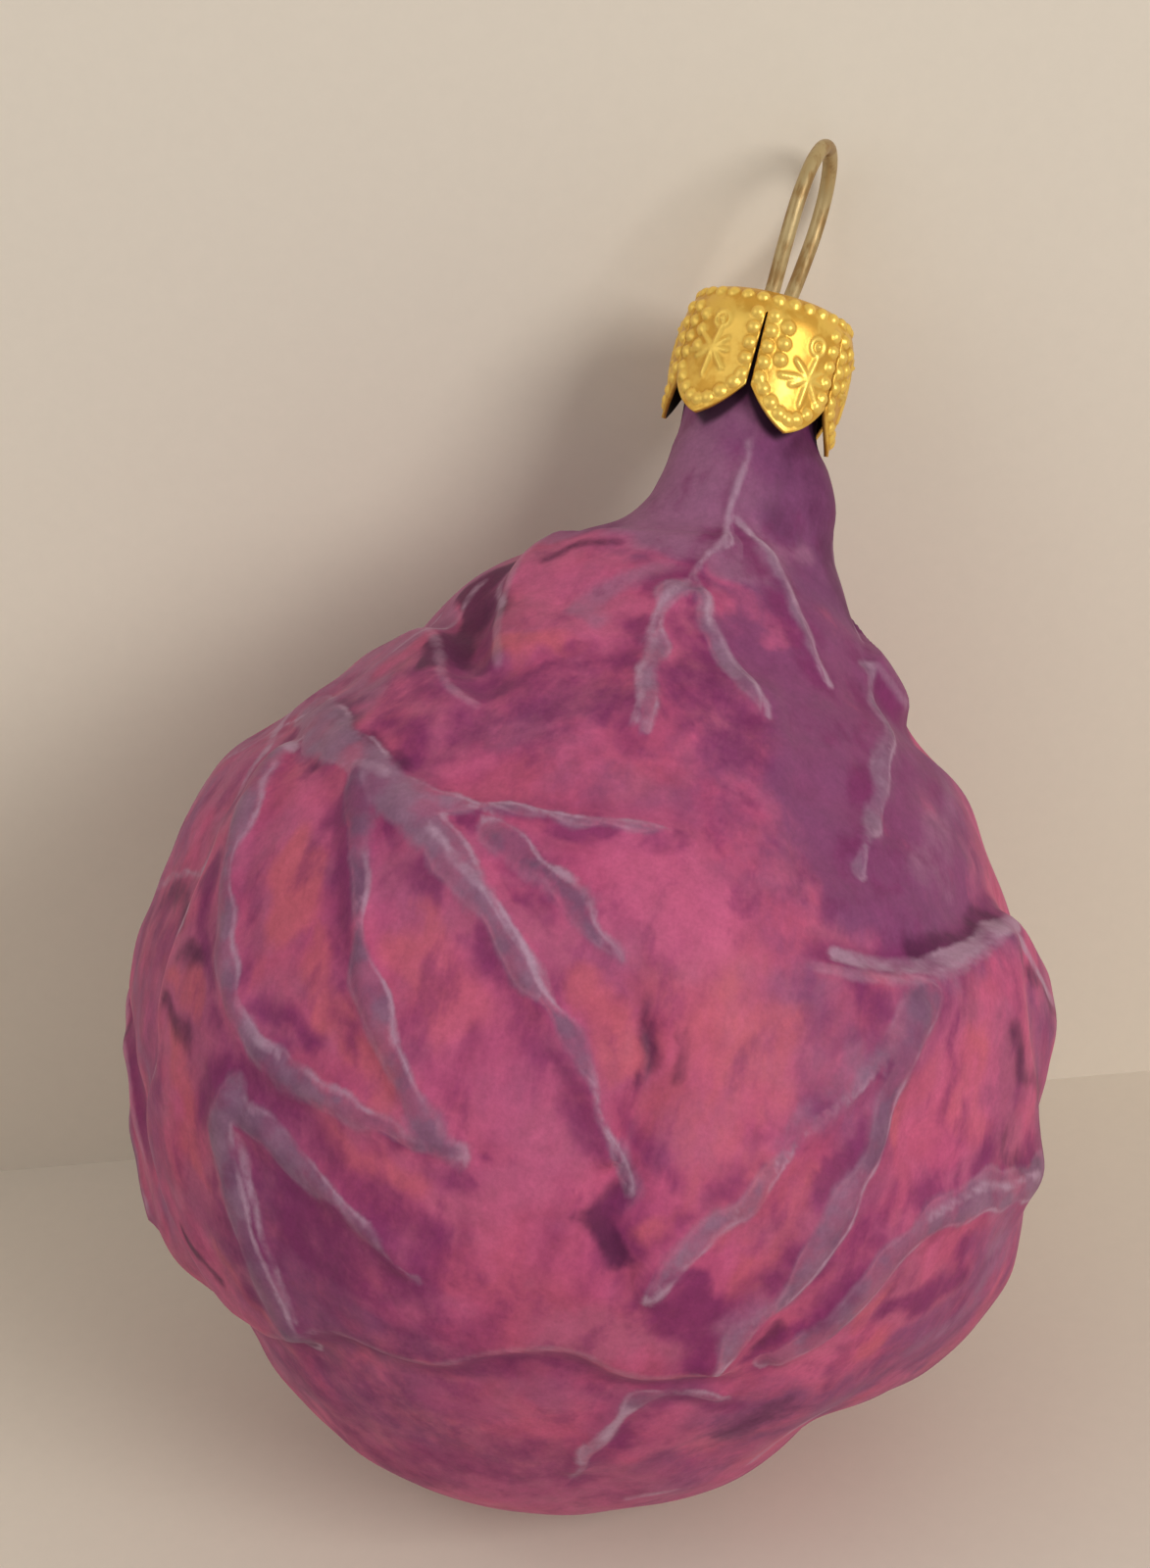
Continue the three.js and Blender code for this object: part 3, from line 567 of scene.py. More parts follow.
def length_property(name, description, millimetres):
    return FloatProperty(
        name=name, description=description, default=millimetres * MM, subtype="DISTANCE", unit="LENGTH"
    )


def share_property(name, description, default, top=1.0):
    return FloatProperty(name=name, description=description, default=default, min=0, max=top)


class HeadSettings(bpy.types.PropertyGroup):
    """The painted glass"""

    columns: IntProperty(name="Columns", description="Faces round the head", default=384, min=48)
    rows: IntProperty(name="Rows", description="Faces down the head", default=232, min=32)
    rim_edge: length_property("Rim Edge", "How far a leaf rim takes to step up", 0.65)
    ripple: length_property("Ripple", "Unevenness of the blown leaves", 0.11)
    rose: colour_property("Rose", "Main paint of the leaves", "#b84f76")
    deep_rose: colour_property("Deep Rose", "Darker patches of the main paint", "#9c3f68")
    coral: colour_property("Coral", "Warm light paint between veins", "#c05a68")
    pink: colour_property("Pink", "Cool light paint", "#c45a80")
    purple: colour_property("Purple", "Paint of the neck and the shaded leaves", "#783e68")
    mauve: colour_property("Mauve", "Thin greyed wash", "#96607e")
    wine: colour_property("Wine", "Dark magenta in hollows", "#78285a")
    plum: colour_property("Plum", "Darkest paint in creases", "#521a40")
    vein_dark: colour_property("Dark Vein", "Violet of the dark veins", "#6a4662")
    vein_pale: colour_property("Pale Vein", "Lilac of the pale veins", "#8f6b82")
    edge_pale: colour_property("Pale Edge", "Lilac line along veins and leaf edges", "#ae8a9e")
    roughness: share_property("Roughness", "Roughness of the matt paint", 0.58)
    sheen: share_property("Sheen", "Soft light at the outline", 0.15)


class CapSettings(bpy.types.PropertyGroup):
    """The crown cap"""

    metal: length_property("Metal", "Thickness of the sheet", 0.3)
    bead: length_property("Bead", "Height of the stamped beads", 0.3)
    star: length_property("Star", "Height of the stamped star and ring", 0.2)
    gold: colour_property("Gold", "Lacquered gold", "#f8ce60")
    # Deep gold off the raised marks: partly tarnish in the hollows, partly painted shade
    deep_gold: colour_property("Deep Gold", "Gold in the stamped hollows", "#dca63c")
    # Painted shade: the inside of the cap is near black to stand for its shadow
    inside: colour_property("Inside", "Dark inside of the cap", "#1c1208")
    roughness: share_property("Roughness", "Roughness of the lacquer", 0.36)
    metallic: share_property("Metallic", "Share of metal in the lacquer", 0.55)


class HangerSettings(bpy.types.PropertyGroup):
    """The wire hanger"""

    bronze: colour_property("Bronze", "Dull wire", "#b8a070")
    tarnish: colour_property("Tarnish", "Darker patches of the wire", "#9a7846")
    roughness: share_property("Roughness", "Roughness of the wire", 0.42)


class StageSettings(bpy.types.PropertyGroup):
    """Backdrop and light"""

    pale: colour_property("Pale", "Colour of the backdrop", "#e2d7c6")
    look_down: FloatProperty(
        name="Look Down", description="How far the camera looks down on the floor",
        default=math.radians(28.6), subtype="ANGLE", unit="ROTATION",
    )
    floor_turn: FloatProperty(
        name="Floor Turn", description="Slope of the floor's far edge in the picture",
        default=math.radians(5.0), subtype="ANGLE", unit="ROTATION",
    )
    gap: length_property("Gap", "From the rearmost part of the ornament to the wall", 1)
    key: FloatProperty(name="Key", description="Power of the main light", default=3.3, unit="POWER")
    fill: FloatProperty(name="Fill", description="Power of the fill light", default=0.45, unit="POWER")
    air: share_property("Air", "Strength of the light from all round", 0.43, top=4)


# Curves and places on the glass
def smooth_line(points, steps, power=0.0):
    """A smooth line through points, with a number of steps between each two.
    Spans count as equally long, or by their length to the power given."""
    points = np.asarray(points, float)
    first = 2 * points[0] - points[1] if power else points[0]
    last = 2 * points[-1] - points[-2] if power else points[-1]
    padded = np.vstack([first, points, last])
    weights = np.linalg.norm(np.diff(padded, axis=0), axis=1) ** power
    share = np.linspace(0, 1, steps, endpoint=False)[:, None]
    line = []
    for i in range(len(points) - 1):
        before, start, end, after = padded[i:i + 4]
        back, own, ahead = weights[i:i + 3]
        leave = own * ((start - before) / back - (end - before) / (back + own) + (end - start) / own)
        arrive = own * ((end - start) / own - (after - start) / (own + ahead) + (after - end) / ahead)
        cube = 2 * start - 2 * end + leave + arrive
        square = 3 * end - 3 * start - 2 * leave - arrive
        line.append(((cube * share + square) * share + leave) * share + start)
    return np.vstack([*line, points[-1:]])


def smoothstep(value, low, high):
    share = np.clip((value - low) / (high - low), 0, 1)
    return share * share * (3 - 2 * share)


class Outline:
    """A turned outline, by distance travelled down it."""

    def __init__(self, points):
        line = smooth_line([(radius, -depth) for radius, depth in points], OUTLINE_STEPS)
        self.line = line
        self.travel = np.concatenate([[0], np.cumsum(np.hypot(*np.diff(line, axis=0).T))])
        self.length = self.travel[-1]
        along = np.gradient(line, self.travel, axis=0)
        along /= np.linalg.norm(along, axis=1)[:, None]
        self.outward = np.stack([-along[:, 1], along[:, 0]], axis=1)

    def at(self, travel):
        """Places and outward directions, as (radius, height) pairs."""
        place = [np.interp(travel, self.travel, self.line[:, i]) for i in (0, 1)]
        outward = [np.interp(travel, self.travel, self.outward[:, i]) for i in (0, 1)]
        return np.stack(place, axis=-1), np.stack(outward, axis=-1)


class Skin:
    """A grid of places on the glass, where relief and paint are worked out."""

    def __init__(self, outline, columns, rows):
        self.outline = outline
        self.deg = np.linspace(-180, 180, columns, endpoint=False)
        self.travel = np.linspace(0, outline.length, rows + 1)
        self.place, self.outward = outline.at(self.travel)
        self.width = np.radians(1) * self.place[:, 0]
        self.shape = (rows + 1, columns)
        self.drift = [self.waves(DRIFT_SEED + i, *DRIFT_WAVES) for i in range(3)]

    def waves(self, seed, short, long):
        """Slow unevenness all over, from seeded draws of waves' directions."""
        draw = np.random.default_rng(seed)
        turn = np.radians(self.deg)
        radius, up = self.place[:, :1], self.place[:, 1:]
        x, y, z = radius * np.sin(turn), -radius * np.cos(turn), up + 0 * turn
        height = np.zeros(self.shape)
        for _ in range(WAVES):
            heading = draw.normal(size=3)
            heading *= 2 * np.pi / draw.uniform(short, long) / np.linalg.norm(heading)
            height += np.sin(heading[0] * x + heading[1] * y + heading[2] * z + draw.uniform(0, 2 * np.pi))
        return height / math.sqrt(WAVES / 2)

    def near(self, path, reach, drift=0.0):
        """The part of the grid within reach of a path, and there the distance
        from it, the side (1 below a path that runs right) and the share along.
        Drift lets the path wander by about that far."""
        path = np.asarray(path, float)
        low, high = path.min(axis=0), path.max(axis=0)
        rows = np.flatnonzero((self.travel > low[1] - reach) & (self.travel < high[1] + reach))
        middle = (low[0] + high[0]) / 2
        turn = (self.deg - middle + 180) % 360 - 180
        slack = reach / self.width[rows].min()
        columns = np.flatnonzero(np.abs(turn) < (high[0] - low[0]) / 2 + slack)
        window = np.ix_(rows, columns)
        width = self.width[rows][:, None]
        deg = middle + turn[columns][None, :] + drift * self.drift[0][window] / width
        down = self.travel[rows][:, None] + drift * self.drift[1][window]
        distance = np.full((len(rows), len(columns)), np.inf)
        side = np.ones_like(distance)
        along = np.zeros_like(distance)
        spans = max(len(path) - 1, 1)
        for i in range(spans):
            start, end = path[i], path[min(i + 1, len(path) - 1)]
            across, below = (deg - start[0]) * width, down - start[1]
            run_across, run_down = (end[0] - start[0]) * width, end[1] - start[1]
            run = np.maximum(run_across ** 2 + run_down ** 2, 1e-9)
            share = np.clip((across * run_across + below * run_down) / run, 0, 1)
            far = np.hypot(across - share * run_across, below - share * run_down)
            closer = far < distance
            distance = np.where(closer, far, distance)
            side = np.where(closer, np.where(run_across * below < run_down * across, -1, 1), side)
            along = np.where(closer, (i + share) / spans, along)
        return window, distance, side, along


def sway(size_and_pace, side, deg):
    size, pace = size_and_pace
    return size * math.sin(pace * side + deg)


def back_rims():
    rims = []
    for (deg, travel), half, drop, _, _ in BACK_LEAVES:
        path = [
            (
                deg + half * side + sway(RIM_SWAY_ACROSS, side, deg),
                travel - BACK_RIM_LIFT + drop * abs(side) ** BACK_RIM_BOW + sway(RIM_SWAY_DOWN, side, deg),
            )
            for side in np.linspace(-1, 1, BACK_RIM_STEPS + 1)
        ]
        rims.append((BACK_RIM_RISE, path))
    return rims


def fan_path(leaf, side, shares):
    """Places down a back leaf, at one side of its fan from -1 to 1."""
    (deg, travel), half, _, _, reach = leaf
    reach = reach * (1 - BACK_FAN_ROUND * side ** 2 + sway(FAN_UNEVEN, side, deg))
    return [
        (
            deg + BACK_FAN_TURN * half * side * share ** BACK_FAN_BOW
            + sway(FAN_SWAY, side, FAN_SWAY_DOWN * share + deg),
            travel + reach * share,
        )
        for share in shares
    ]


def back_veins():
    return [
        (BACK_VEIN_HALF, BACK_VEIN_HIGH, BACK_VEIN_TONE, fan_path(leaf, side, BACK_VEIN_PLACES))
        for leaf in BACK_LEAVES
        for side in np.linspace(-1, 1, leaf[3])
    ]


def back_strokes():
    """Paint for the back leaves: light between the veins and dark at the hub
    and at the leaf's foot, as on the front."""
    draw = np.random.default_rng(BACK_PAINT_SEED)
    strokes = {paint: [] for paint in STROKES}
    for leaf in BACK_LEAVES:
        veins = leaf[3]
        for i in range(-1, veins):
            side = (2 * i + 1) / (veins - 1) - 1
            light = LIGHT_PAINTS[draw.integers(len(LIGHT_PAINTS))]
            start = draw.uniform(*LIGHT_START)
            strokes[light].append((
                draw.uniform(*LIGHT_STRENGTH), draw.uniform(*LIGHT_HALF),
                fan_path(leaf, side, (start, start + draw.uniform(*LIGHT_LENGTH))),
            ))
            dark = DARK_PAINTS[draw.integers(len(DARK_PAINTS))]
            strokes[dark].append((
                draw.uniform(*DARK_STRENGTH), draw.uniform(*DARK_HALF),
                fan_path(leaf, side + draw.uniform(*DARK_ASIDE), DARK_PLACES),
            ))
            strokes["wine"].append((
                draw.uniform(*FOOT_STRENGTH), draw.uniform(*FOOT_HALF),
                fan_path(leaf, side, (FOOT_START, draw.uniform(*FOOT_END))),
            ))
        strokes["mauve"].append((*HUB_DAB, [leaf[0]]))
    return strokes


def lump_height(skin):
    height = np.zeros(skin.shape)
    for (deg, travel), (wide, tall), high in LUMPS:
        turn = (skin.deg - deg + 180) % 360 - 180
        across = turn[None, :] * skin.width[:, None] / wide
        down = (skin.travel - travel)[:, None] / tall
        height += high * np.exp(-(across ** 2 + down ** 2))
    return height


def rim_height(skin, edge):
    height = np.zeros(skin.shape)
    for rise, path in RIMS + back_rims():
        window, distance, side, along = skin.near(smooth_line(path, STROKE_STEPS), RIM_WINDOW)
        signed = distance * side
        fade = smoothstep(np.minimum(along, 1 - along), *RIM_ENDS)
        step = 0.5 * (1 + np.tanh(signed / edge)) * np.exp(-distance / RIM_REACH)
        groove = RIM_GROOVE_DEEP * np.exp(-((signed + RIM_GROOVE) / RIM_GROOVE) ** 2)
        height[window] += rise * fade * (step - groove)
    return height


def vein_height(skin):
    height = np.zeros(skin.shape)
    for half, high, _, path in VEINS + CREASES + back_veins():
        line = smooth_line(path, STROKE_STEPS)
        window, distance, _, along = skin.near(line, VEIN_WINDOW * max(half))
        width = half[0] + (half[1] - half[0]) * along + VEIN_FOOT
        fade = smoothstep(np.minimum(along, 1 - along), *VEIN_ENDS)
        ridge = VEIN_RISE * high * fade * np.exp(-(distance / width) ** VEIN_CREST)
        old = height[window]
        height[window] = np.where(np.abs(ridge) > np.abs(old), ridge, old)
    return height


def calm(skin):
    """Where relief is allowed: not under the cap, nor round the flat spot."""
    top = smoothstep(skin.travel, *RELIEF_TOP)
    start, end = (skin.outline.length - left for left in RELIEF_END)
    return (top * (1 - smoothstep(skin.travel, start, end)))[:, None]


def painted_area(skin, strokes):
    area = np.zeros(skin.shape)
    for strength, half, path in strokes:
        line = smooth_line(path, STROKE_STEPS) if len(path) > 1 else path
        soft = STROKE_SOFT[0] + STROKE_SOFT[1] * half
        drift = min(STROKE_DRIFT_MOST, STROKE_DRIFT[0] + STROKE_DRIFT[1] * half)
        window, distance, _, _ = skin.near(line, half + STROKE_WINDOW * soft, drift)
        value = strength * smoothstep(half - distance, STROKE_EDGE[0] * soft, STROKE_EDGE[1] * soft)
        area[window] = np.maximum(area[window], value)
    return area


def vein_paint(skin):
    """How far inside a painted vein each place is, in mm, the vein's tone, and
    1 on the vein's lower or left side."""
    inside = np.full(skin.shape, NO_PAINT)
    tone = np.full(skin.shape, MIDDLE_TONE)
    lower = np.zeros(skin.shape)
    for half, _, tones, path in VEINS + back_veins():
        line = smooth_line(path, STROKE_STEPS)
        window, distance, side, along = skin.near(line, VEIN_PAINT_WINDOW, VEIN_DRIFT)
        width = half[0] + (half[1] - half[0]) * along + VEIN_UNEVEN * skin.drift[2][window]
        depth = width - distance - VEIN_POINT * smoothstep(along, *VEIN_TIP)
        wins = depth > inside[window]
        inside[window] = np.where(wins, depth, inside[window])
        tone[window] = np.where(wins, tones[0] + (tones[1] - tones[0]) * along, tone[window])
        lower[window] = np.where(wins, side > 0, lower[window])
    return inside, tone, lower


def line_paint(skin):
    """How far inside a pale line each place is, in mm."""
    inside = np.full(skin.shape, NO_PAINT)
    for half, path in PALE_LINES:
        window, distance, _, _ = skin.near(smooth_line(path, STROKE_STEPS), LINE_WINDOW, VEIN_DRIFT)
        inside[window] = np.maximum(inside[window], half - distance)
    return inside


def rim_paint(skin):
    """Shade just under the leaf rims, and light along them."""
    fields = [np.zeros(skin.shape), np.zeros(skin.shape)]
    for rise, path in RIMS + back_rims():
        window, distance, side, along = skin.near(smooth_line(path, STROKE_STEPS), RIM_PAINT_WINDOW)
        strength = min(1, rise) ** RIM_PAINT_POWER
        strength = strength * smoothstep(np.minimum(along, 1 - along), *RIM_PAINT_ENDS)
        signed = distance * side
        for field, (start, end) in zip(fields, (RIM_SHADE, RIM_LIGHT)):
            band = smoothstep(signed, *start) * (1 - smoothstep(signed, *end))
            field[window] = np.maximum(field[window], strength * band)
    return fields


def cap_shade(skin):
    """How far each place on the neck is up in the shade of the petals, in mm, for the cap's painted shadow.
    """
    turn = (skin.deg - CAP_TURN) % (360 / CAP_PETALS)
    share = np.abs(2 * turn * CAP_PETALS / 360 - 1)
    return petal_edge(share)[None, :] + skin.place[:, 1:]


# Meshes
def mesh_object(name, vertices, faces, materials, face_materials=None, attributes=None):
    """A smooth-shaded object, moved from the ornament's own axis to its place."""
    mesh = bpy.data.meshes.new(name)
    mesh.from_pydata((np.asarray(vertices) * MM + np.array(AXIS_PLACE)).tolist(), [], faces)
    mesh.validate()
    for material in materials:
        mesh.materials.append(material)
    if face_materials is not None:
        mesh.polygons.foreach_set("material_index", face_materials)
    for key, values in (attributes or {}).items():
        layer = mesh.attributes.new(key, "FLOAT", "POINT")
        layer.data.foreach_set("value", np.asarray(values, np.float32))
    mesh.shade_smooth()
    piece = bpy.data.objects.new(name, mesh)
    bpy.context.scene.collection.objects.link(piece)
    return piece


def ring_faces(rows, columns, first=0, flip=False):
    """Squares between rows of points that each close into a ring."""
    corner = first + np.arange(rows * columns).reshape(rows, columns)
    ahead = np.roll(corner, -1, axis=1)
    squares = np.stack([corner[:-1], corner[1:], ahead[1:], ahead[:-1]], axis=-1).reshape(-1, 4)
    return (squares[:, ::-1] if flip else squares).tolist()


def turned_points(radius, height, deg):
    turn = np.radians(deg)
    return np.stack([radius * np.sin(turn), -radius * np.cos(turn), height + 0 * turn], axis=-1)


def raised_points(skin, height):
    """Points on the skin, moved outward by a height."""
    radius = skin.place[:, :1] + skin.outward[:, :1] * height
    up = skin.place[:, 1:] + skin.outward[:, 1:] * height
    return turned_points(radius, up, skin.deg).reshape(-1, 3)


def glass_faces(rows, columns):
    """Faces of the outer skin, the inner wall, the lip between them and the two
    flat ends, and the material of each: 0 outside, 1 inside."""
    first_inner = rows * columns
    ends = first_inner + (INNER_ROWS + 1) * columns
    low, deep = first_inner - columns, ends - columns
    faces = ring_faces(rows, columns)
    slots = [0] * len(faces)
    faces += ring_faces(INNER_ROWS + 1, columns, first_inner, flip=True)
    slots += [1] * (len(faces) - len(slots))
    for i in range(columns):
        j = (i + 1) % columns
        faces += [
            [i, j, first_inner + j, first_inner + i],
            [low + i, ends, low + j],
            [deep + j, ends + 1, deep + i],
        ]
        slots += [0, 0, 1]
    return faces, slots


def glass_paint(skin):
    """The value of each paint all over the skin, by the paint's name."""
    areas = back_strokes()
    paints = {key: painted_area(skin, strokes + areas[key]) for key, strokes in STROKES.items()}
    paints["vein"], paints["vein_tone"], paints["vein_lower"] = vein_paint(skin)
    paints["pale_line"] = line_paint(skin)
    paints["rim_shade"], paints["rim_light"] = rim_paint(skin)
    paints["cap_shade"] = cap_shade(skin)
    paints["down"] = skin.travel[:, None] + 0 * skin.deg[None, :]
    return paints


def glass_mesh(settings, materials):
    """The head: its outer skin with relief, its lip, and its inner wall."""
    outline = Outline(GLASS_OUTLINE)
    skin = Skin(outline, settings.columns, settings.rows)
    height = lump_height(skin) + rim_height(skin, settings.rim_edge / MM) + vein_height(skin)
    height = calm(skin) * (height + settings.ripple / MM * skin.waves(RIPPLE_SEED, *RIPPLE_WAVES))
    outer = raised_points(skin, height)
    inner_skin = Skin(outline, settings.columns, INNER_ROWS)
    wall = NECK_WALL + (GLASS_WALL - NECK_WALL) * smoothstep(inner_skin.travel, *NECK_END)
    inner = raised_points(inner_skin, calm(inner_skin) * lump_height(inner_skin) - wall[:, None])
    vertices = np.vstack([outer, inner, [[0, 0, outer[-1][2]], [0, 0, inner[-1][2]]]])
    faces, slots = glass_faces(settings.rows + 1, settings.columns)
    rest = len(vertices) - len(outer)
    attributes = {
        key: np.concatenate([value.ravel(), np.full(rest, value[-1, 0])])
        for key, value in glass_paint(skin).items()
    }
    return mesh_object("painted_head", vertices, faces, materials, slots, attributes)


def petal_edge(share):
    """Depth of a petal's lower edge, from 0 at a slit to 1 at its point."""
    bow = 2 * share * (1 - share)
    return PETAL_SHOULDER * (1 - share) ** 2 + (PETAL_SHOULDER + PETAL_BOW) * bow + PETAL_TIP * share ** 2


def bead(x, y, at, radius, high):
    squared = ((x - at[0]) ** 2 + (y - at[1]) ** 2) / radius ** 2
    return high * np.sqrt(np.clip(1 - squared, 0, None)) ** BEAD_ROUND


def bead_places(half_width):
    """Places of a petal's beads: (distance from its middle, depth)."""
    side_rows = np.arange(*SIDE_BEADS, BEAD_PITCH)
    across, down = EDGE_BEAD_INSETS
    beads = [(side * (half_width - BEAD_INSET), row) for side in (-1, 1) for row in side_rows]
    beads += [
        (side * (1 - share) * (half_width - across * BEAD_INSET), petal_edge(share) - down * BEAD_INSET)
        for side in (-1, 1) for share in EDGE_BEADS
    ]
    beads += [(0, PETAL_TIP - POINT_BEAD_INSET * BEAD_INSET)]
    return beads + [(-half_width + BEAD_INSET + BEAD_PITCH, row) for row in INNER_BEADS]


def stamped_height(across, depth, half_width, slip, settings):
    """Height of the stamped marks at a distance from a petal's middle."""
    bead_high, star_high = settings.bead / MM, settings.star / MM
    height = np.zeros_like(across)
    for place in bead_places(half_width):
        height = np.maximum(height, bead(across, depth, place, BEAD_RADIUS, bead_high))
    x, y = across - STAR_PLACE[0] - slip[0], depth - STAR_PLACE[1] - slip[1]
    for turn, length in STAR_RAYS:
        heading = math.cos(math.radians(turn)), -math.sin(math.radians(turn))
        run = np.clip(x * heading[0] + y * heading[1], 0, length)
        off = np.hypot(x - run * heading[0], y - run * heading[1])
        width = RAY_HALF - RAY_TAPER * run / length
        height = np.maximum(height, star_high * np.exp(-(off / width) ** 2))
    middle = RING_PLACE[0] + slip[0], RING_PLACE[1] + slip[1] / 2
    off = np.hypot(across - middle[0], depth - middle[1]) - RING_RADIUS
    height = np.maximum(height, RING_SHARE * star_high * np.exp(-(off / RING_HALF) ** 2))
    return np.maximum(height, bead(across, depth, middle, RING_DOT, bead_high))


def sheet_faces(sheet, flip=False):
    """Squares between the rows and columns of an open grid of points."""
    squares = np.stack([sheet[:-1, :-1], sheet[1:, :-1], sheet[1:, 1:], sheet[:-1, 1:]], axis=-1)
    squares = squares.reshape(-1, 4)
    return (squares[:, ::-1] if flip else squares).tolist()


def petal_faces(outer, inner, open_rows):
    """Faces of a petal's two sides and its cut edges, and the material of each:
    0 gold, 1 the inside, painted dark as shade."""
    faces = sheet_faces(outer) + sheet_faces(inner, flip=True)
    half = len(faces) // 2
    edges = [
        (outer[:, 0], inner[:, 0], open_rows), (inner[:, -1], outer[:, -1], open_rows),
        (outer[-1], inner[-1], range(CAP_COLUMNS)),
    ]
    for one, other, rows in edges:
        faces += [[int(one[i]), int(other[i]), int(other[i + 1]), int(one[i + 1])] for i in rows]
    return faces, [0] * half + [1] * half + [0] * (len(faces) - 2 * half)


def cap_mesh(settings, materials):
    """Six stamped petals that meet in the cap's domed top, as one thin sheet."""
    outline = Outline(CAP_OUTLINE)
    edge_at = np.interp(PETAL_SHOULDER, -outline.line[:, 1], outline.travel)
    shoulder_at = np.interp(SHOULDER_BEAD_DEPTH, -outline.line[:, 1], outline.travel)
    sides = np.linspace(-1, 1, CAP_COLUMNS + 1)
    past_shoulder = (petal_edge(1 - np.abs(sides)) - PETAL_SHOULDER) * (outline.length - edge_at)
    travel_end = edge_at + past_shoulder / (PETAL_TIP - PETAL_SHOULDER)
    down = np.linspace(0, 1, CAP_ROWS + 1)[:, None] * travel_end[None, :]
    place, outward = outline.at(down)
    radius, height = place[..., 0], place[..., 1]
    full = math.pi / CAP_PETALS
    gap = np.interp(-height, (SLIT_TOP, PETAL_SHOULDER), SLIT_WIDTHS)
    slit = np.where(-height > SLIT_TOP, gap / 2 / np.maximum(radius, 1), 0)
    angle = sides[None, :] * (full - slit)
    cell = (SHOULDER_BEADS / 2 * angle / full + SHOULDER_BEADS / 2) % 1 - 0.5
    spread = 2 * full * outline.line[np.searchsorted(outline.travel, shoulder_at), 0] / SHOULDER_BEADS
    shoulder = bead(cell * spread, down - shoulder_at, (0, 0), BEAD_RADIUS, settings.bead / MM)
    bend = smoothstep(-height, PETAL_SHOULDER - BEND_START, PETAL_TIP)

    vertices, faces, raised, slots = [], [], [], []
    grid = np.arange(down.size).reshape(down.shape)
    for petal in range(CAP_PETALS):
        marks = stamped_height(angle * CAP_WAIST, -height, CAP_WAIST * full, STAMP_SLIPS[petal], settings)
        deg = CAP_TURN + 360 * petal / CAP_PETALS + np.degrees(angle)
        bent = radius - POINTS_IN[petal] * bend
        for lift in (np.maximum(marks, shoulder), -settings.metal / MM + 0 * marks):
            points = turned_points(bent + outward[..., 0] * lift, height + outward[..., 1] * lift, deg)
            vertices.append(points.reshape(-1, 3))
            raised.append(np.maximum(lift, 0).ravel())
        outer = grid + 2 * petal * down.size
        petal_part, petal_slots = petal_faces(outer, outer + down.size, np.flatnonzero(slit[1:, 0] > 0))
        faces += petal_part
        slots += petal_slots
    attributes = {"raised": np.concatenate(raised)}
    piece = mesh_object("stamped_cap", np.vstack(vertices), faces, materials, slots, attributes)
    merge_close(piece, CAP_MERGE * MM)
    for side in (-1, 1):
        cut_hole(piece, hanger_place(side * LEG_SPREAD, 0), HOLE_RADIUS)
    return piece


def merge_close(piece, distance):
    mesh = bmesh.new()
    mesh.from_mesh(piece.data)
    bmesh.ops.remove_doubles(mesh, verts=mesh.verts, dist=distance)
    bmesh.ops.dissolve_degenerate(mesh, edges=mesh.edges, dist=distance / 4)
    bmesh.ops.recalc_face_normals(mesh, faces=mesh.faces)
    mesh.to_mesh(piece.data)
    mesh.free()


def cut_hole(piece, middle, radius):
    """Cuts a round hole straight down through the top of the cap."""
    deg = np.linspace(0, 360, HOLE_SIDES, endpoint=False)
    rings = [turned_points(radius, level, deg) + [middle[0], middle[1], 0] for level in HOLE_LEVELS]
    faces = ring_faces(2, HOLE_SIDES, flip=True)
    faces += [list(range(HOLE_SIDES))[::-1], list(range(HOLE_SIDES, 2 * HOLE_SIDES))]
    cutter = mesh_object("hole_cutter", np.vstack(rings), faces, [])
    cut = piece.modifiers.new("hole", "BOOLEAN")
    cut.operation, cut.solver, cut.object = "DIFFERENCE", "EXACT", cutter
    bpy.context.view_layer.objects.active = piece
    bpy.ops.object.modifier_apply(modifier=cut.name)
    bpy.data.objects.remove(cutter)


def hanger_place(across, height):
    """A place in the plane of the wire, which leans over above the cap."""
    turn = math.radians(HANGER_TURN)
    lean = LOOP_LEAN * max(0, height) / LOOP_HEIGHT
    return across * math.cos(turn) + lean, across * math.sin(turn), height


def wire_mesh(materials):
    """The wire as one round tube, up a leg, round the loop and down the other."""
    left = [hanger_place(-across, height) for across, height in HALF_WIRE[:0:-1]]
    right = [hanger_place(across, height) for across, height in HALF_WIRE]
    route = smooth_line(left + right, WIRE_SPAN_STEPS, power=0.5)
    along = np.gradient(route, axis=0)
    along /= np.linalg.norm(along, axis=1)[:, None]
    turn = math.radians(HANGER_TURN)
    out = np.array([-math.sin(turn), math.cos(turn), 0])
    deg = np.radians(np.linspace(0, 360, WIRE_SIDES, endpoint=False))
    reach = WIRE_THICK / 2
    last = len(route) - 1
    steps = [(0, share) for share in WIRE_END] + [(i, 1.0) for i in range(last + 1)]
    steps += [(last, share) for share in WIRE_END[::-1]]
    rings = []
    for i, share in steps:
        normal = out - along[i] * out.dot(along[i])
        normal /= np.linalg.norm(normal)
        other = np.cross(along[i], normal)
        bulge = WIRE_BULGE * reach * (1 - share) * (-1 if i == 0 else 1)
        middle = route[i] + along[i] * bulge
        rings.append(middle + reach * share * (np.cos(deg)[:, None] * normal + np.sin(deg)[:, None] * other))
    faces = ring_faces(len(rings), WIRE_SIDES, flip=True)
    piece = mesh_object("bronze_hanger", np.vstack(rings), faces, materials)
    merge_close(piece, WIRE_MERGE * MM)
    return piece


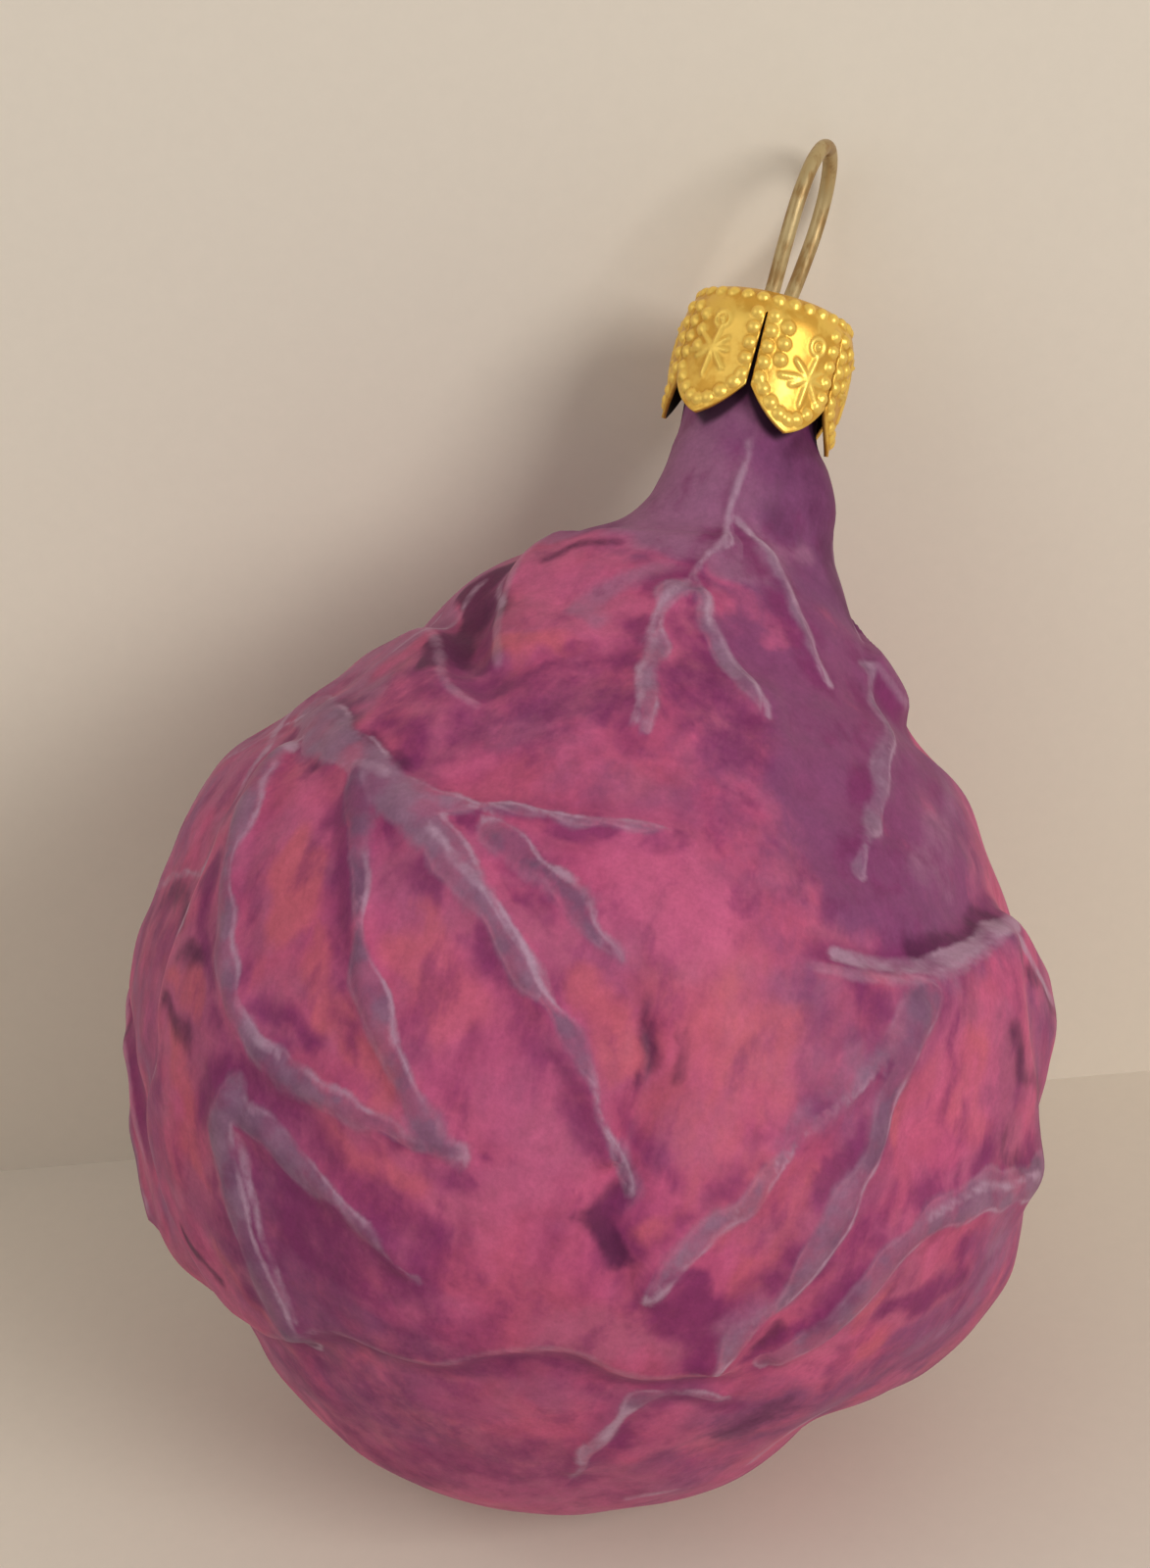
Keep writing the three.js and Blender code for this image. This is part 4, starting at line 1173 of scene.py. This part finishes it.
# Materials
class Recipe:
    """Adds nodes to a tree. An input takes a plain value or another output."""

    def __init__(self, tree):
        self.tree = tree

    def feed(self, inputs, values):
        for key, value in values.items():
            if isinstance(value, bpy.types.NodeSocket):
                self.tree.links.new(value, inputs[key])
            elif inputs[key].type == "RGBA":
                inputs[key].default_value = (*value, 1)
            else:
                inputs[key].default_value = value

    def node(self, kind, inputs, output=0, **settings):
        made = self.tree.nodes.new(kind)
        for key, value in settings.items():
            setattr(made, key, value)
        self.feed(made.inputs, inputs)
        return made.outputs[output]

    def group(self, name, inputs):
        made = self.tree.nodes.new("ShaderNodeGroup")
        made.node_tree = bpy.data.node_groups.get(name) or GROUP_MAKERS[name]()
        self.feed(made.inputs, inputs)
        return made.outputs

    def finish(self, shader):
        end = self.tree.nodes.new("ShaderNodeOutputMaterial")
        self.tree.links.new(shader, end.inputs["Surface"])

    def math(self, operation, *values):
        return self.node("ShaderNodeMath", dict(enumerate(values)), operation=operation)

    def times(self, *values):
        product = values[0]
        for value in values[1:]:
            product = self.math("MULTIPLY", product, value)
        return product

    def mix(self, factor, below, above):
        return self.node("ShaderNodeMix", {0: factor, 6: below, 7: above}, 2, data_type="RGBA")

    def shade(self, colour, factor):
        """A colour made darker or lighter by a factor."""
        grey = self.node("ShaderNodeCombineColor", {0: factor, 1: factor, 2: factor})
        inputs = {0: 1.0, 6: colour, 7: grey}
        return self.node("ShaderNodeMix", inputs, 2, data_type="RGBA", blend_type="MULTIPLY")

    def ramp(self, value, low, high, start=0.0, end=1.0):
        inputs = {"Value": value, "From Min": low, "From Max": high, "To Min": start, "To Max": end}
        return self.node("ShaderNodeMapRange", inputs, interpolation_type="SMOOTHSTEP")

    def noise(self, place, scale, detail=2.0, roughness=0.5):
        inputs = {"Vector": place, "Scale": scale, "Detail": detail, "Roughness": roughness}
        return self.node("ShaderNodeTexNoise", inputs, "Fac")

    def attribute(self, name):
        return self.node("ShaderNodeAttribute", {}, "Fac", attribute_name=name)

    def place(self, stretch=(1, 1, 1)):
        """Places on the object in mm, stretched for brushed marks."""
        where = self.node("ShaderNodeTexCoord", {}, "Object")
        scale = tuple(1 / MM / part for part in stretch)
        return self.node("ShaderNodeMapping", {"Vector": where, "Scale": scale})

    def grain(self, place, scale, strength, bump, depth):
        """Fine speckle, as a factor round 1 and a bumped normal."""
        made = self.group("Fine Grain", {"Place": place, "Scale": scale, "Strength": strength})
        inputs = {"Height": made["Height"], "Strength": bump, "Distance": depth * MM}
        return made["Factor"], self.node("ShaderNodeBump", inputs)

    def ragged(self, place, field, scale, rough, low, high):
        """A mask from a soft field, with its edge broken up."""
        inputs = {"Place": place, "Field": field, "Scale": scale, "Break": rough, "Low": low, "High": high}
        return self.group("Ragged Edge", inputs)["Mask"]

    def principled(self, **inputs):
        named = {key.replace("_", " "): value for key, value in inputs.items()}
        return self.node("ShaderNodeBsdfPrincipled", named)


def new_group(name, inputs, outputs):
    """An empty node group with its inputs and outputs made."""
    tree = bpy.data.node_groups.new(name, "ShaderNodeTree")
    for key, default in inputs.items():
        kind = "NodeSocketVector" if default is None else "NodeSocketFloat"
        socket = tree.interface.new_socket(key, in_out="INPUT", socket_type=kind)
        if default is not None:
            socket.default_value = default
    for key in outputs:
        tree.interface.new_socket(key, in_out="OUTPUT", socket_type="NodeSocketFloat")
    recipe = Recipe(tree)
    entry = tree.nodes.new("NodeGroupInput").outputs
    leave = tree.nodes.new("NodeGroupOutput").inputs
    return tree, recipe, entry, leave


def ragged_edge_group():
    """Breaks the soft edge of a painted or worn area with noise."""
    tree, recipe, entry, leave = new_group(
        "Ragged Edge",
        {"Place": None, "Field": 0.0, "Scale": 1.0, "Break": 0.5, "Low": 0.3, "High": 0.7},
        ["Mask"],
    )
    noise = recipe.noise(entry["Place"], entry["Scale"], detail=3, roughness=0.6)
    shift = recipe.math("MULTIPLY", recipe.math("SUBTRACT", noise, 0.5), entry["Break"])
    broken = recipe.math("ADD", entry["Field"], shift)
    tree.links.new(recipe.ramp(broken, entry["Low"], entry["High"]), leave["Mask"])
    return tree


def fine_grain_group():
    """Fine speckle over a finish, as a factor round 1 and a small height."""
    tree, recipe, entry, leave = new_group(
        "Fine Grain", {"Place": None, "Scale": 6.0, "Strength": 0.1}, ["Factor", "Height"]
    )
    fine = recipe.noise(entry["Place"], entry["Scale"], detail=3, roughness=0.7)
    swing = recipe.math("MULTIPLY", recipe.math("SUBTRACT", fine, 0.5), entry["Strength"])
    tree.links.new(recipe.math("ADD", swing, 1.0), leave["Factor"])
    tree.links.new(fine, leave["Height"])
    return tree


GROUP_MAKERS = {"Ragged Edge": ragged_edge_group, "Fine Grain": fine_grain_group}


def new_material(name):
    material = bpy.data.materials.new(name)
    material.use_nodes = True
    material.node_tree.nodes.clear()
    return material, Recipe(material.node_tree)


class Paint(Recipe):
    """Coats of paint on the glass, each laid on the ones before."""

    def __init__(self, tree, settings):
        super().__init__(tree)
        self.settings = settings
        self.spot = self.place()
        self.brushed = self.place(stretch=(1, 1, 2))
        self.streaks = self.noise(self.place(stretch=(1, 1, 2.2)), 0.38, detail=4, roughness=0.6)
        self.colour = settings.deep_rose

    def coat(self, mask, colour):
        self.colour = self.mix(mask, self.colour, colour)

    def broken(self, field, edge):
        return self.ragged(self.brushed, field, *edge)

    def patchy(self, scale, least, most):
        return self.ramp(self.noise(self.spot, scale, detail=3), *PATCHES, least, most)

    def brush_on(self, name, cover):
        mask = self.broken(self.attribute(name), BRUSH_EDGE)
        self.coat(self.times(mask, cover), getattr(self.settings, name))

    def ground(self):
        """The leaves' mottled rose, and the purple of the neck."""
        settings = self.settings
        self.coat(self.ramp(self.noise(self.brushed, 0.2, detail=5, roughness=0.6), 0.36, 0.6), settings.rose)
        self.coat(self.patchy(0.13, 0, 0.3), settings.coral)
        self.coat(self.patchy(0.19, 0, 0.3), settings.mauve)
        self.coat(self.ramp(self.streaks, *PINK_STREAKS), settings.pink)
        neck = self.broken(self.ramp(self.attribute("down"), *NECK_PURPLE), NECK_EDGE)
        self.coat(self.times(neck, 0.92), settings.purple)

    def strokes(self):
        """The brushed washes, then the dark paint in hollows, and painted shade under the leaf rims."""
        for name, cover in FIRST_COATS:
            self.brush_on(name, cover)
        self.coat(self.ramp(self.streaks, *WINE_STREAKS), self.settings.wine)
        # painted shade in wine just under the leaf rims
        painted_rim_shade = self.broken(self.attribute("rim_shade"), RIM_SHADE_EDGE)
        self.coat(self.times(painted_rim_shade, 0.75), self.settings.wine)
        for name, cover in LAST_COATS:
            self.brush_on(name, cover)

    def veins(self):
        """Dark paint beside the veins, heavier on their lower side as painted shade,
        their lilac, and the pale line on them, strongest on their upper side as a
        painted highlight."""
        settings = self.settings
        depth, lower = self.attribute("vein"), self.attribute("vein_lower")
        start, end = BESIDE_VEIN
        beside = self.times(self.ramp(depth, *start), self.ramp(depth, *end))
        # a dark outline, heavier on the vein's lower side as painted shade
        beside = self.times(self.broken(beside, BESIDE_VEIN_EDGE), self.ramp(lower, 0, 1, 0.35, 1))
        self.coat(self.times(beside, self.patchy(0.3, 0.1, 0.75)), settings.wine)
        tone = self.math("ADD", self.attribute("vein_tone"), self.noise(self.spot, 0.45, detail=4))
        lilac = self.mix(self.ramp(tone, *VEIN_TONES), settings.vein_dark, settings.vein_pale)
        self.coat(self.times(self.broken(depth, VEIN_EDGE), self.patchy(0.4, 0.5, 0.88)), lilac)
        middle, half = VEIN_LIGHT
        edge = self.math("SUBTRACT", half, self.math("ABSOLUTE", self.math("SUBTRACT", depth, middle)))
        edge = self.broken(edge, VEIN_LIGHT_EDGE)
        # the pale line is strongest on the vein's upper side: a painted highlight
        upper = self.ramp(lower, 0, 1, 1, 0.25)
        self.coat(self.times(edge, upper, self.patchy(0.25, 0.05, 0.75)), settings.edge_pale)

    def edges(self):
        """The pale lines, the light on the leaf rims and the painted shadow of the cap on the neck."""
        pale = self.broken(self.attribute("pale_line"), PALE_LINE_EDGE)
        self.coat(self.times(pale, self.patchy(0.35, 0.3, 0.8)), self.settings.edge_pale)
        crest = self.broken(self.attribute("rim_light"), RIM_LIGHT_EDGE)
        self.coat(self.times(crest, 0.35), self.settings.edge_pale)
        # painted shadow of the cap on the neck
        shaded = self.ramp(self.attribute("cap_shade"), *CAP_SHADE)
        self.coat(self.times(shaded, 0.85), from_srgb(CAP_SHADOW_PAINT))


def painted_glass(settings):
    """Matt paints over glass: a rose ground, washes, dark hollows, veins, with painted shade under the leaf
    rims, beside the veins and under the cap, and a painted highlight on the veins.
    """
    material, recipe = new_material("painted glass")
    paint = Paint(recipe.tree, settings)
    paint.ground()
    paint.strokes()
    paint.veins()
    paint.edges()
    mottled = paint.group("Fine Grain", {"Place": paint.spot, "Scale": 0.8, "Strength": 0.5})["Factor"]
    factor, normal = paint.grain(paint.spot, *PAINT_GRAIN)
    smoothest, roughest = settings.roughness - 0.07, settings.roughness + 0.1
    matt = paint.ramp(paint.noise(paint.spot, 0.3, detail=3), 0.3, 0.7, smoothest, roughest)
    paint.finish(paint.principled(
        Base_Color=paint.shade(paint.shade(paint.colour, mottled), factor), Roughness=matt,
        Specular_IOR_Level=0.2, Normal=normal,
        Sheen_Weight=settings.sheen, Sheen_Roughness=0.4, Sheen_Tint=settings.edge_pale,
    ))
    return material


def silvered_inside():
    """The silvering inside the blown glass."""
    material, recipe = new_material("silvered inside")
    place = recipe.place()
    cloud = recipe.ramp(recipe.noise(place, 0.2, detail=3), 0.3, 0.7, 0.2, 0.45)
    _, normal = recipe.grain(place, *SILVER_GRAIN)
    recipe.finish(recipe.principled(
        Base_Color=recipe.mix(cloud, *map(from_srgb, SILVER)), Roughness=cloud, Metallic=0.9, Normal=normal,
    ))
    return material


def stamped_gold(settings):
    """Gold lacquer, a deeper gold off the raised stamped marks, partly tarnish in the hollows and partly
    painted shade there, with broad lighter patches as a painted reflection.
    """
    material, recipe = new_material("stamped gold")
    place = recipe.place()
    # deeper gold off the raised marks: partly tarnish, partly painted shade
    tint = recipe.ramp(recipe.attribute("raised"), 0.0, 0.12)
    colour = recipe.mix(tint, settings.deep_gold, settings.gold)
    # broad lighter patches on the gold: a painted reflection
    patch = recipe.ragged(place, recipe.noise(place, 0.5), *GOLD_REFLECTION_EDGE)
    colour = recipe.mix(recipe.times(patch, 0.7), colour, settings.gold)
    factor, normal = recipe.grain(place, *GOLD_GRAIN)
    recipe.finish(recipe.principled(
        Base_Color=colour, Metallic=settings.metallic, Normal=normal,
        Roughness=recipe.times(factor, settings.roughness),
    ))
    return material


def cap_inside_shade(settings):
    """The inside of the cap, painted near black as painted shade."""
    material, recipe = new_material("cap inside shade")
    factor, normal = recipe.grain(recipe.place(), *INSIDE_SHADE_GRAIN)
    recipe.finish(recipe.principled(
        Base_Color=recipe.shade(settings.inside, factor), Roughness=0.7, Metallic=0.3, Normal=normal,
    ))
    return material


def dull_bronze(settings):
    """Tarnished wire, drawn along its length."""
    material, recipe = new_material("dull bronze")
    drawn = recipe.place(stretch=(0.4, 0.4, 3))
    patch = recipe.ragged(drawn, recipe.noise(recipe.place(), 0.35, detail=3), *TARNISH_EDGE)
    colour = recipe.mix(patch, settings.bronze, settings.tarnish)
    factor, normal = recipe.grain(drawn, *BRONZE_GRAIN)
    recipe.finish(recipe.principled(
        Base_Color=colour, Metallic=0.45, Normal=normal, Roughness=recipe.times(factor, settings.roughness),
    ))
    return material


def pale_backdrop(settings, middle):
    """A matt pale surface, seen from its front only, which fades out round the
    ornament."""
    material, recipe = new_material("pale backdrop")
    fine = recipe.group("Fine Grain", {"Place": recipe.place(), "Scale": 0.8, "Strength": 0.05})
    matt = recipe.principled(
        Base_Color=recipe.shade(settings.pale, fine["Factor"]), Roughness=0.85, Specular_IOR_Level=0.1,
    )
    where = recipe.node("ShaderNodeNewGeometry", {}, "Position")
    away = recipe.node("ShaderNodeVectorMath", {0: where, 1: tuple(middle)}, "Value", operation="DISTANCE")
    behind = recipe.node("ShaderNodeNewGeometry", {}, "Backfacing")
    start, end = FADE
    hidden = recipe.math("MAXIMUM", recipe.ramp(away, start * MM, end * MM), behind)
    clear = recipe.node("ShaderNodeBsdfTransparent", {})
    recipe.finish(recipe.node("ShaderNodeMixShader", {0: hidden, 1: matt, 2: clear}))
    return material


# Stage
def camera_axes():
    """The camera's right, up and back directions."""
    tilt, roll = math.radians(CAMERA_ELEVATION), math.radians(CAMERA_ROLL)
    back = Vector((0, -math.cos(tilt), math.sin(tilt)))
    level_up = Vector((0, math.sin(tilt), math.cos(tilt)))
    right = math.cos(roll) * Vector((1, 0, 0)) + math.sin(roll) * level_up
    up = -math.sin(roll) * Vector((1, 0, 0)) + math.cos(roll) * level_up
    return right, up, back


def make_camera():
    right, up, back = camera_axes()
    data = bpy.data.cameras.new("photo_view")
    data.lens, data.sensor_width, data.sensor_fit = CAMERA_LENS, CAMERA_SENSOR, "AUTO"
    data.clip_start, data.clip_end = (reach * MM for reach in CAMERA_CLIP)
    camera = bpy.data.objects.new("photo_view", data)
    turn = Matrix((right, up, back)).transposed().to_4x4()
    aim = Vector(CAMERA_AIM) * MM
    camera.matrix_world = Matrix.Translation(aim + CAMERA_DISTANCE * MM * back) @ turn
    bpy.context.scene.collection.objects.link(camera)
    bpy.context.scene.camera = camera


def make_backdrop(settings):
    """Floor and wall as one bent sheet, which the ornament leans on."""
    right, up, back = camera_axes()
    level = math.cos(settings.floor_turn) * up - math.sin(settings.floor_turn) * right
    normal = math.cos(settings.look_down) * level + math.sin(settings.look_down) * back
    forward = math.cos(settings.look_down) * back - math.sin(settings.look_down) * level
    side = normal.cross(forward)
    pieces = [bpy.data.objects[name] for name in ("painted_head", "stamped_cap", "bronze_hanger")]
    places = [vertex.co for piece in pieces for vertex in piece.data.vertices]
    foot = min(places, key=normal.dot)
    wall = min((place - foot).dot(forward) for place in places) - settings.gap
    reach = BACKDROP_REACH * MM
    profile = [(y, 0.0) for y in np.linspace(reach, wall, BACKDROP_STEPS)]
    profile += [(wall, z) for z in np.linspace(0, reach, BACKDROP_STEPS)[1:]]
    across = np.linspace(-reach, reach, BACKDROP_COLUMNS)
    vertices = [tuple(foot + forward * y + normal * z - side * x) for y, z in profile for x in across]
    faces = sheet_faces(np.arange(len(vertices)).reshape(len(profile), len(across)))
    mesh = bpy.data.meshes.new("backdrop")
    mesh.from_pydata(vertices, [], faces)
    if mesh.polygons[0].normal.dot(normal) < 0:
        mesh.flip_normals()
    mesh.materials.append(pale_backdrop(settings, foot + FADE_OVER_FOOT * MM * normal))
    sheet = bpy.data.objects.new("backdrop", mesh)
    bpy.context.scene.collection.objects.link(sheet)


def make_light(name, way, distance, size, tint, power):
    """A square soft light that looks at the ornament's middle."""
    data = bpy.data.lights.new(name, "AREA")
    data.shape, data.size, data.energy, data.color = "SQUARE", size * MM, power, tint
    light = bpy.data.objects.new(name, data)
    heading = sum((part * axis for part, axis in zip(way, camera_axes())), Vector()).normalized()
    light.location = Vector(CAMERA_AIM) * MM + distance * MM * heading
    light.rotation_mode = "QUATERNION"
    light.rotation_quaternion = heading.to_track_quat("Z", "Y")
    bpy.context.scene.collection.objects.link(light)


def make_world(settings):
    world = bpy.data.worlds.new("pale air")
    world.use_nodes = True
    world.node_tree.nodes["Background"].inputs["Color"].default_value = (1, 1, 1, 1)
    world.node_tree.nodes["Background"].inputs["Strength"].default_value = settings.air
    bpy.context.scene.world = world


# Operators
def dress(piece, node):
    """Hands a finished piece to the frame in place of a plain solid."""
    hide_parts(node)
    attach(piece, BODY)


class ORNAMENT_OT_make_head(bpy.types.Operator):
    """Build the painted glass head"""

    bl_idname = "ornament.make_head"
    bl_label = "Make Glass Head"

    def execute(self, context):
        settings = context.scene.ornament_head
        head = glass_mesh(settings, [painted_glass(settings), silvered_inside()])
        dress(head, "glass_head")
        return {"FINISHED"}


class ORNAMENT_OT_make_cap(bpy.types.Operator):
    """Build the stamped crown cap"""

    bl_idname = "ornament.make_cap"
    bl_label = "Make Crown Cap"

    def execute(self, context):
        settings = context.scene.ornament_cap
        materials = [stamped_gold(settings), cap_inside_shade(settings)]
        dress(cap_mesh(settings, materials), "crown_cap")
        return {"FINISHED"}


class ORNAMENT_OT_make_hanger(bpy.types.Operator):
    """Build the wire hanger"""

    bl_idname = "ornament.make_hanger"
    bl_label = "Make Wire Hanger"

    def execute(self, context):
        hanger = wire_mesh([dull_bronze(context.scene.ornament_hanger)])
        dress(hanger, "wire_hanger")
        return {"FINISHED"}


class ORNAMENT_OT_make_stage(bpy.types.Operator):
    """Set up the camera, the backdrop and the lights"""

    bl_idname = "ornament.make_stage"
    bl_label = "Make Stage"

    def execute(self, context):
        settings = context.scene.ornament_stage
        make_camera()
        make_backdrop(settings)
        for light, power in zip(LIGHTS, (settings.key, settings.fill, REAR_PER_FILL * settings.fill)):
            make_light(*light, power)
        make_world(settings)
        context.scene.view_settings.view_transform = "Standard"
        return {"FINISHED"}


class ORNAMENT_PT_panel(bpy.types.Panel):
    """Buttons for each piece and the stage"""

    bl_idname = "ORNAMENT_PT_panel"
    bl_label = "Glass Ornament"
    bl_space_type = "VIEW_3D"
    bl_region_type = "UI"
    bl_category = "Ornament"

    def draw(self, context):
        for operator, settings in STEPS:
            box = self.layout.box()
            box.operator(operator.bl_idname)
            group = getattr(context.scene, settings)
            for key in group.bl_rna.properties.keys():
                if key not in ("name", "rna_type"):
                    box.prop(group, key)


STEPS = [
    (ORNAMENT_OT_make_head, "ornament_head"),
    (ORNAMENT_OT_make_cap, "ornament_cap"),
    (ORNAMENT_OT_make_hanger, "ornament_hanger"),
    (ORNAMENT_OT_make_stage, "ornament_stage"),
]
SETTINGS = {
    "ornament_head": HeadSettings,
    "ornament_cap": CapSettings,
    "ornament_hanger": HangerSettings,
    "ornament_stage": StageSettings,
}
CLASSES = [*SETTINGS.values(), *(step[0] for step in STEPS), ORNAMENT_PT_panel]


def register():
    for item in CLASSES:
        bpy.utils.register_class(item)
    for name, group in SETTINGS.items():
        setattr(bpy.types.Scene, name, PointerProperty(type=group))


def unregister():
    for name in SETTINGS:
        delattr(bpy.types.Scene, name)
    for item in reversed(CLASSES):
        bpy.utils.unregister_class(item)


def main():
    register()
    bpy.ops.ornament.make_head()
    bpy.ops.ornament.make_cap()
    bpy.ops.ornament.make_hanger()
    bpy.ops.ornament.make_stage()


if __name__ == "__main__":
    main()
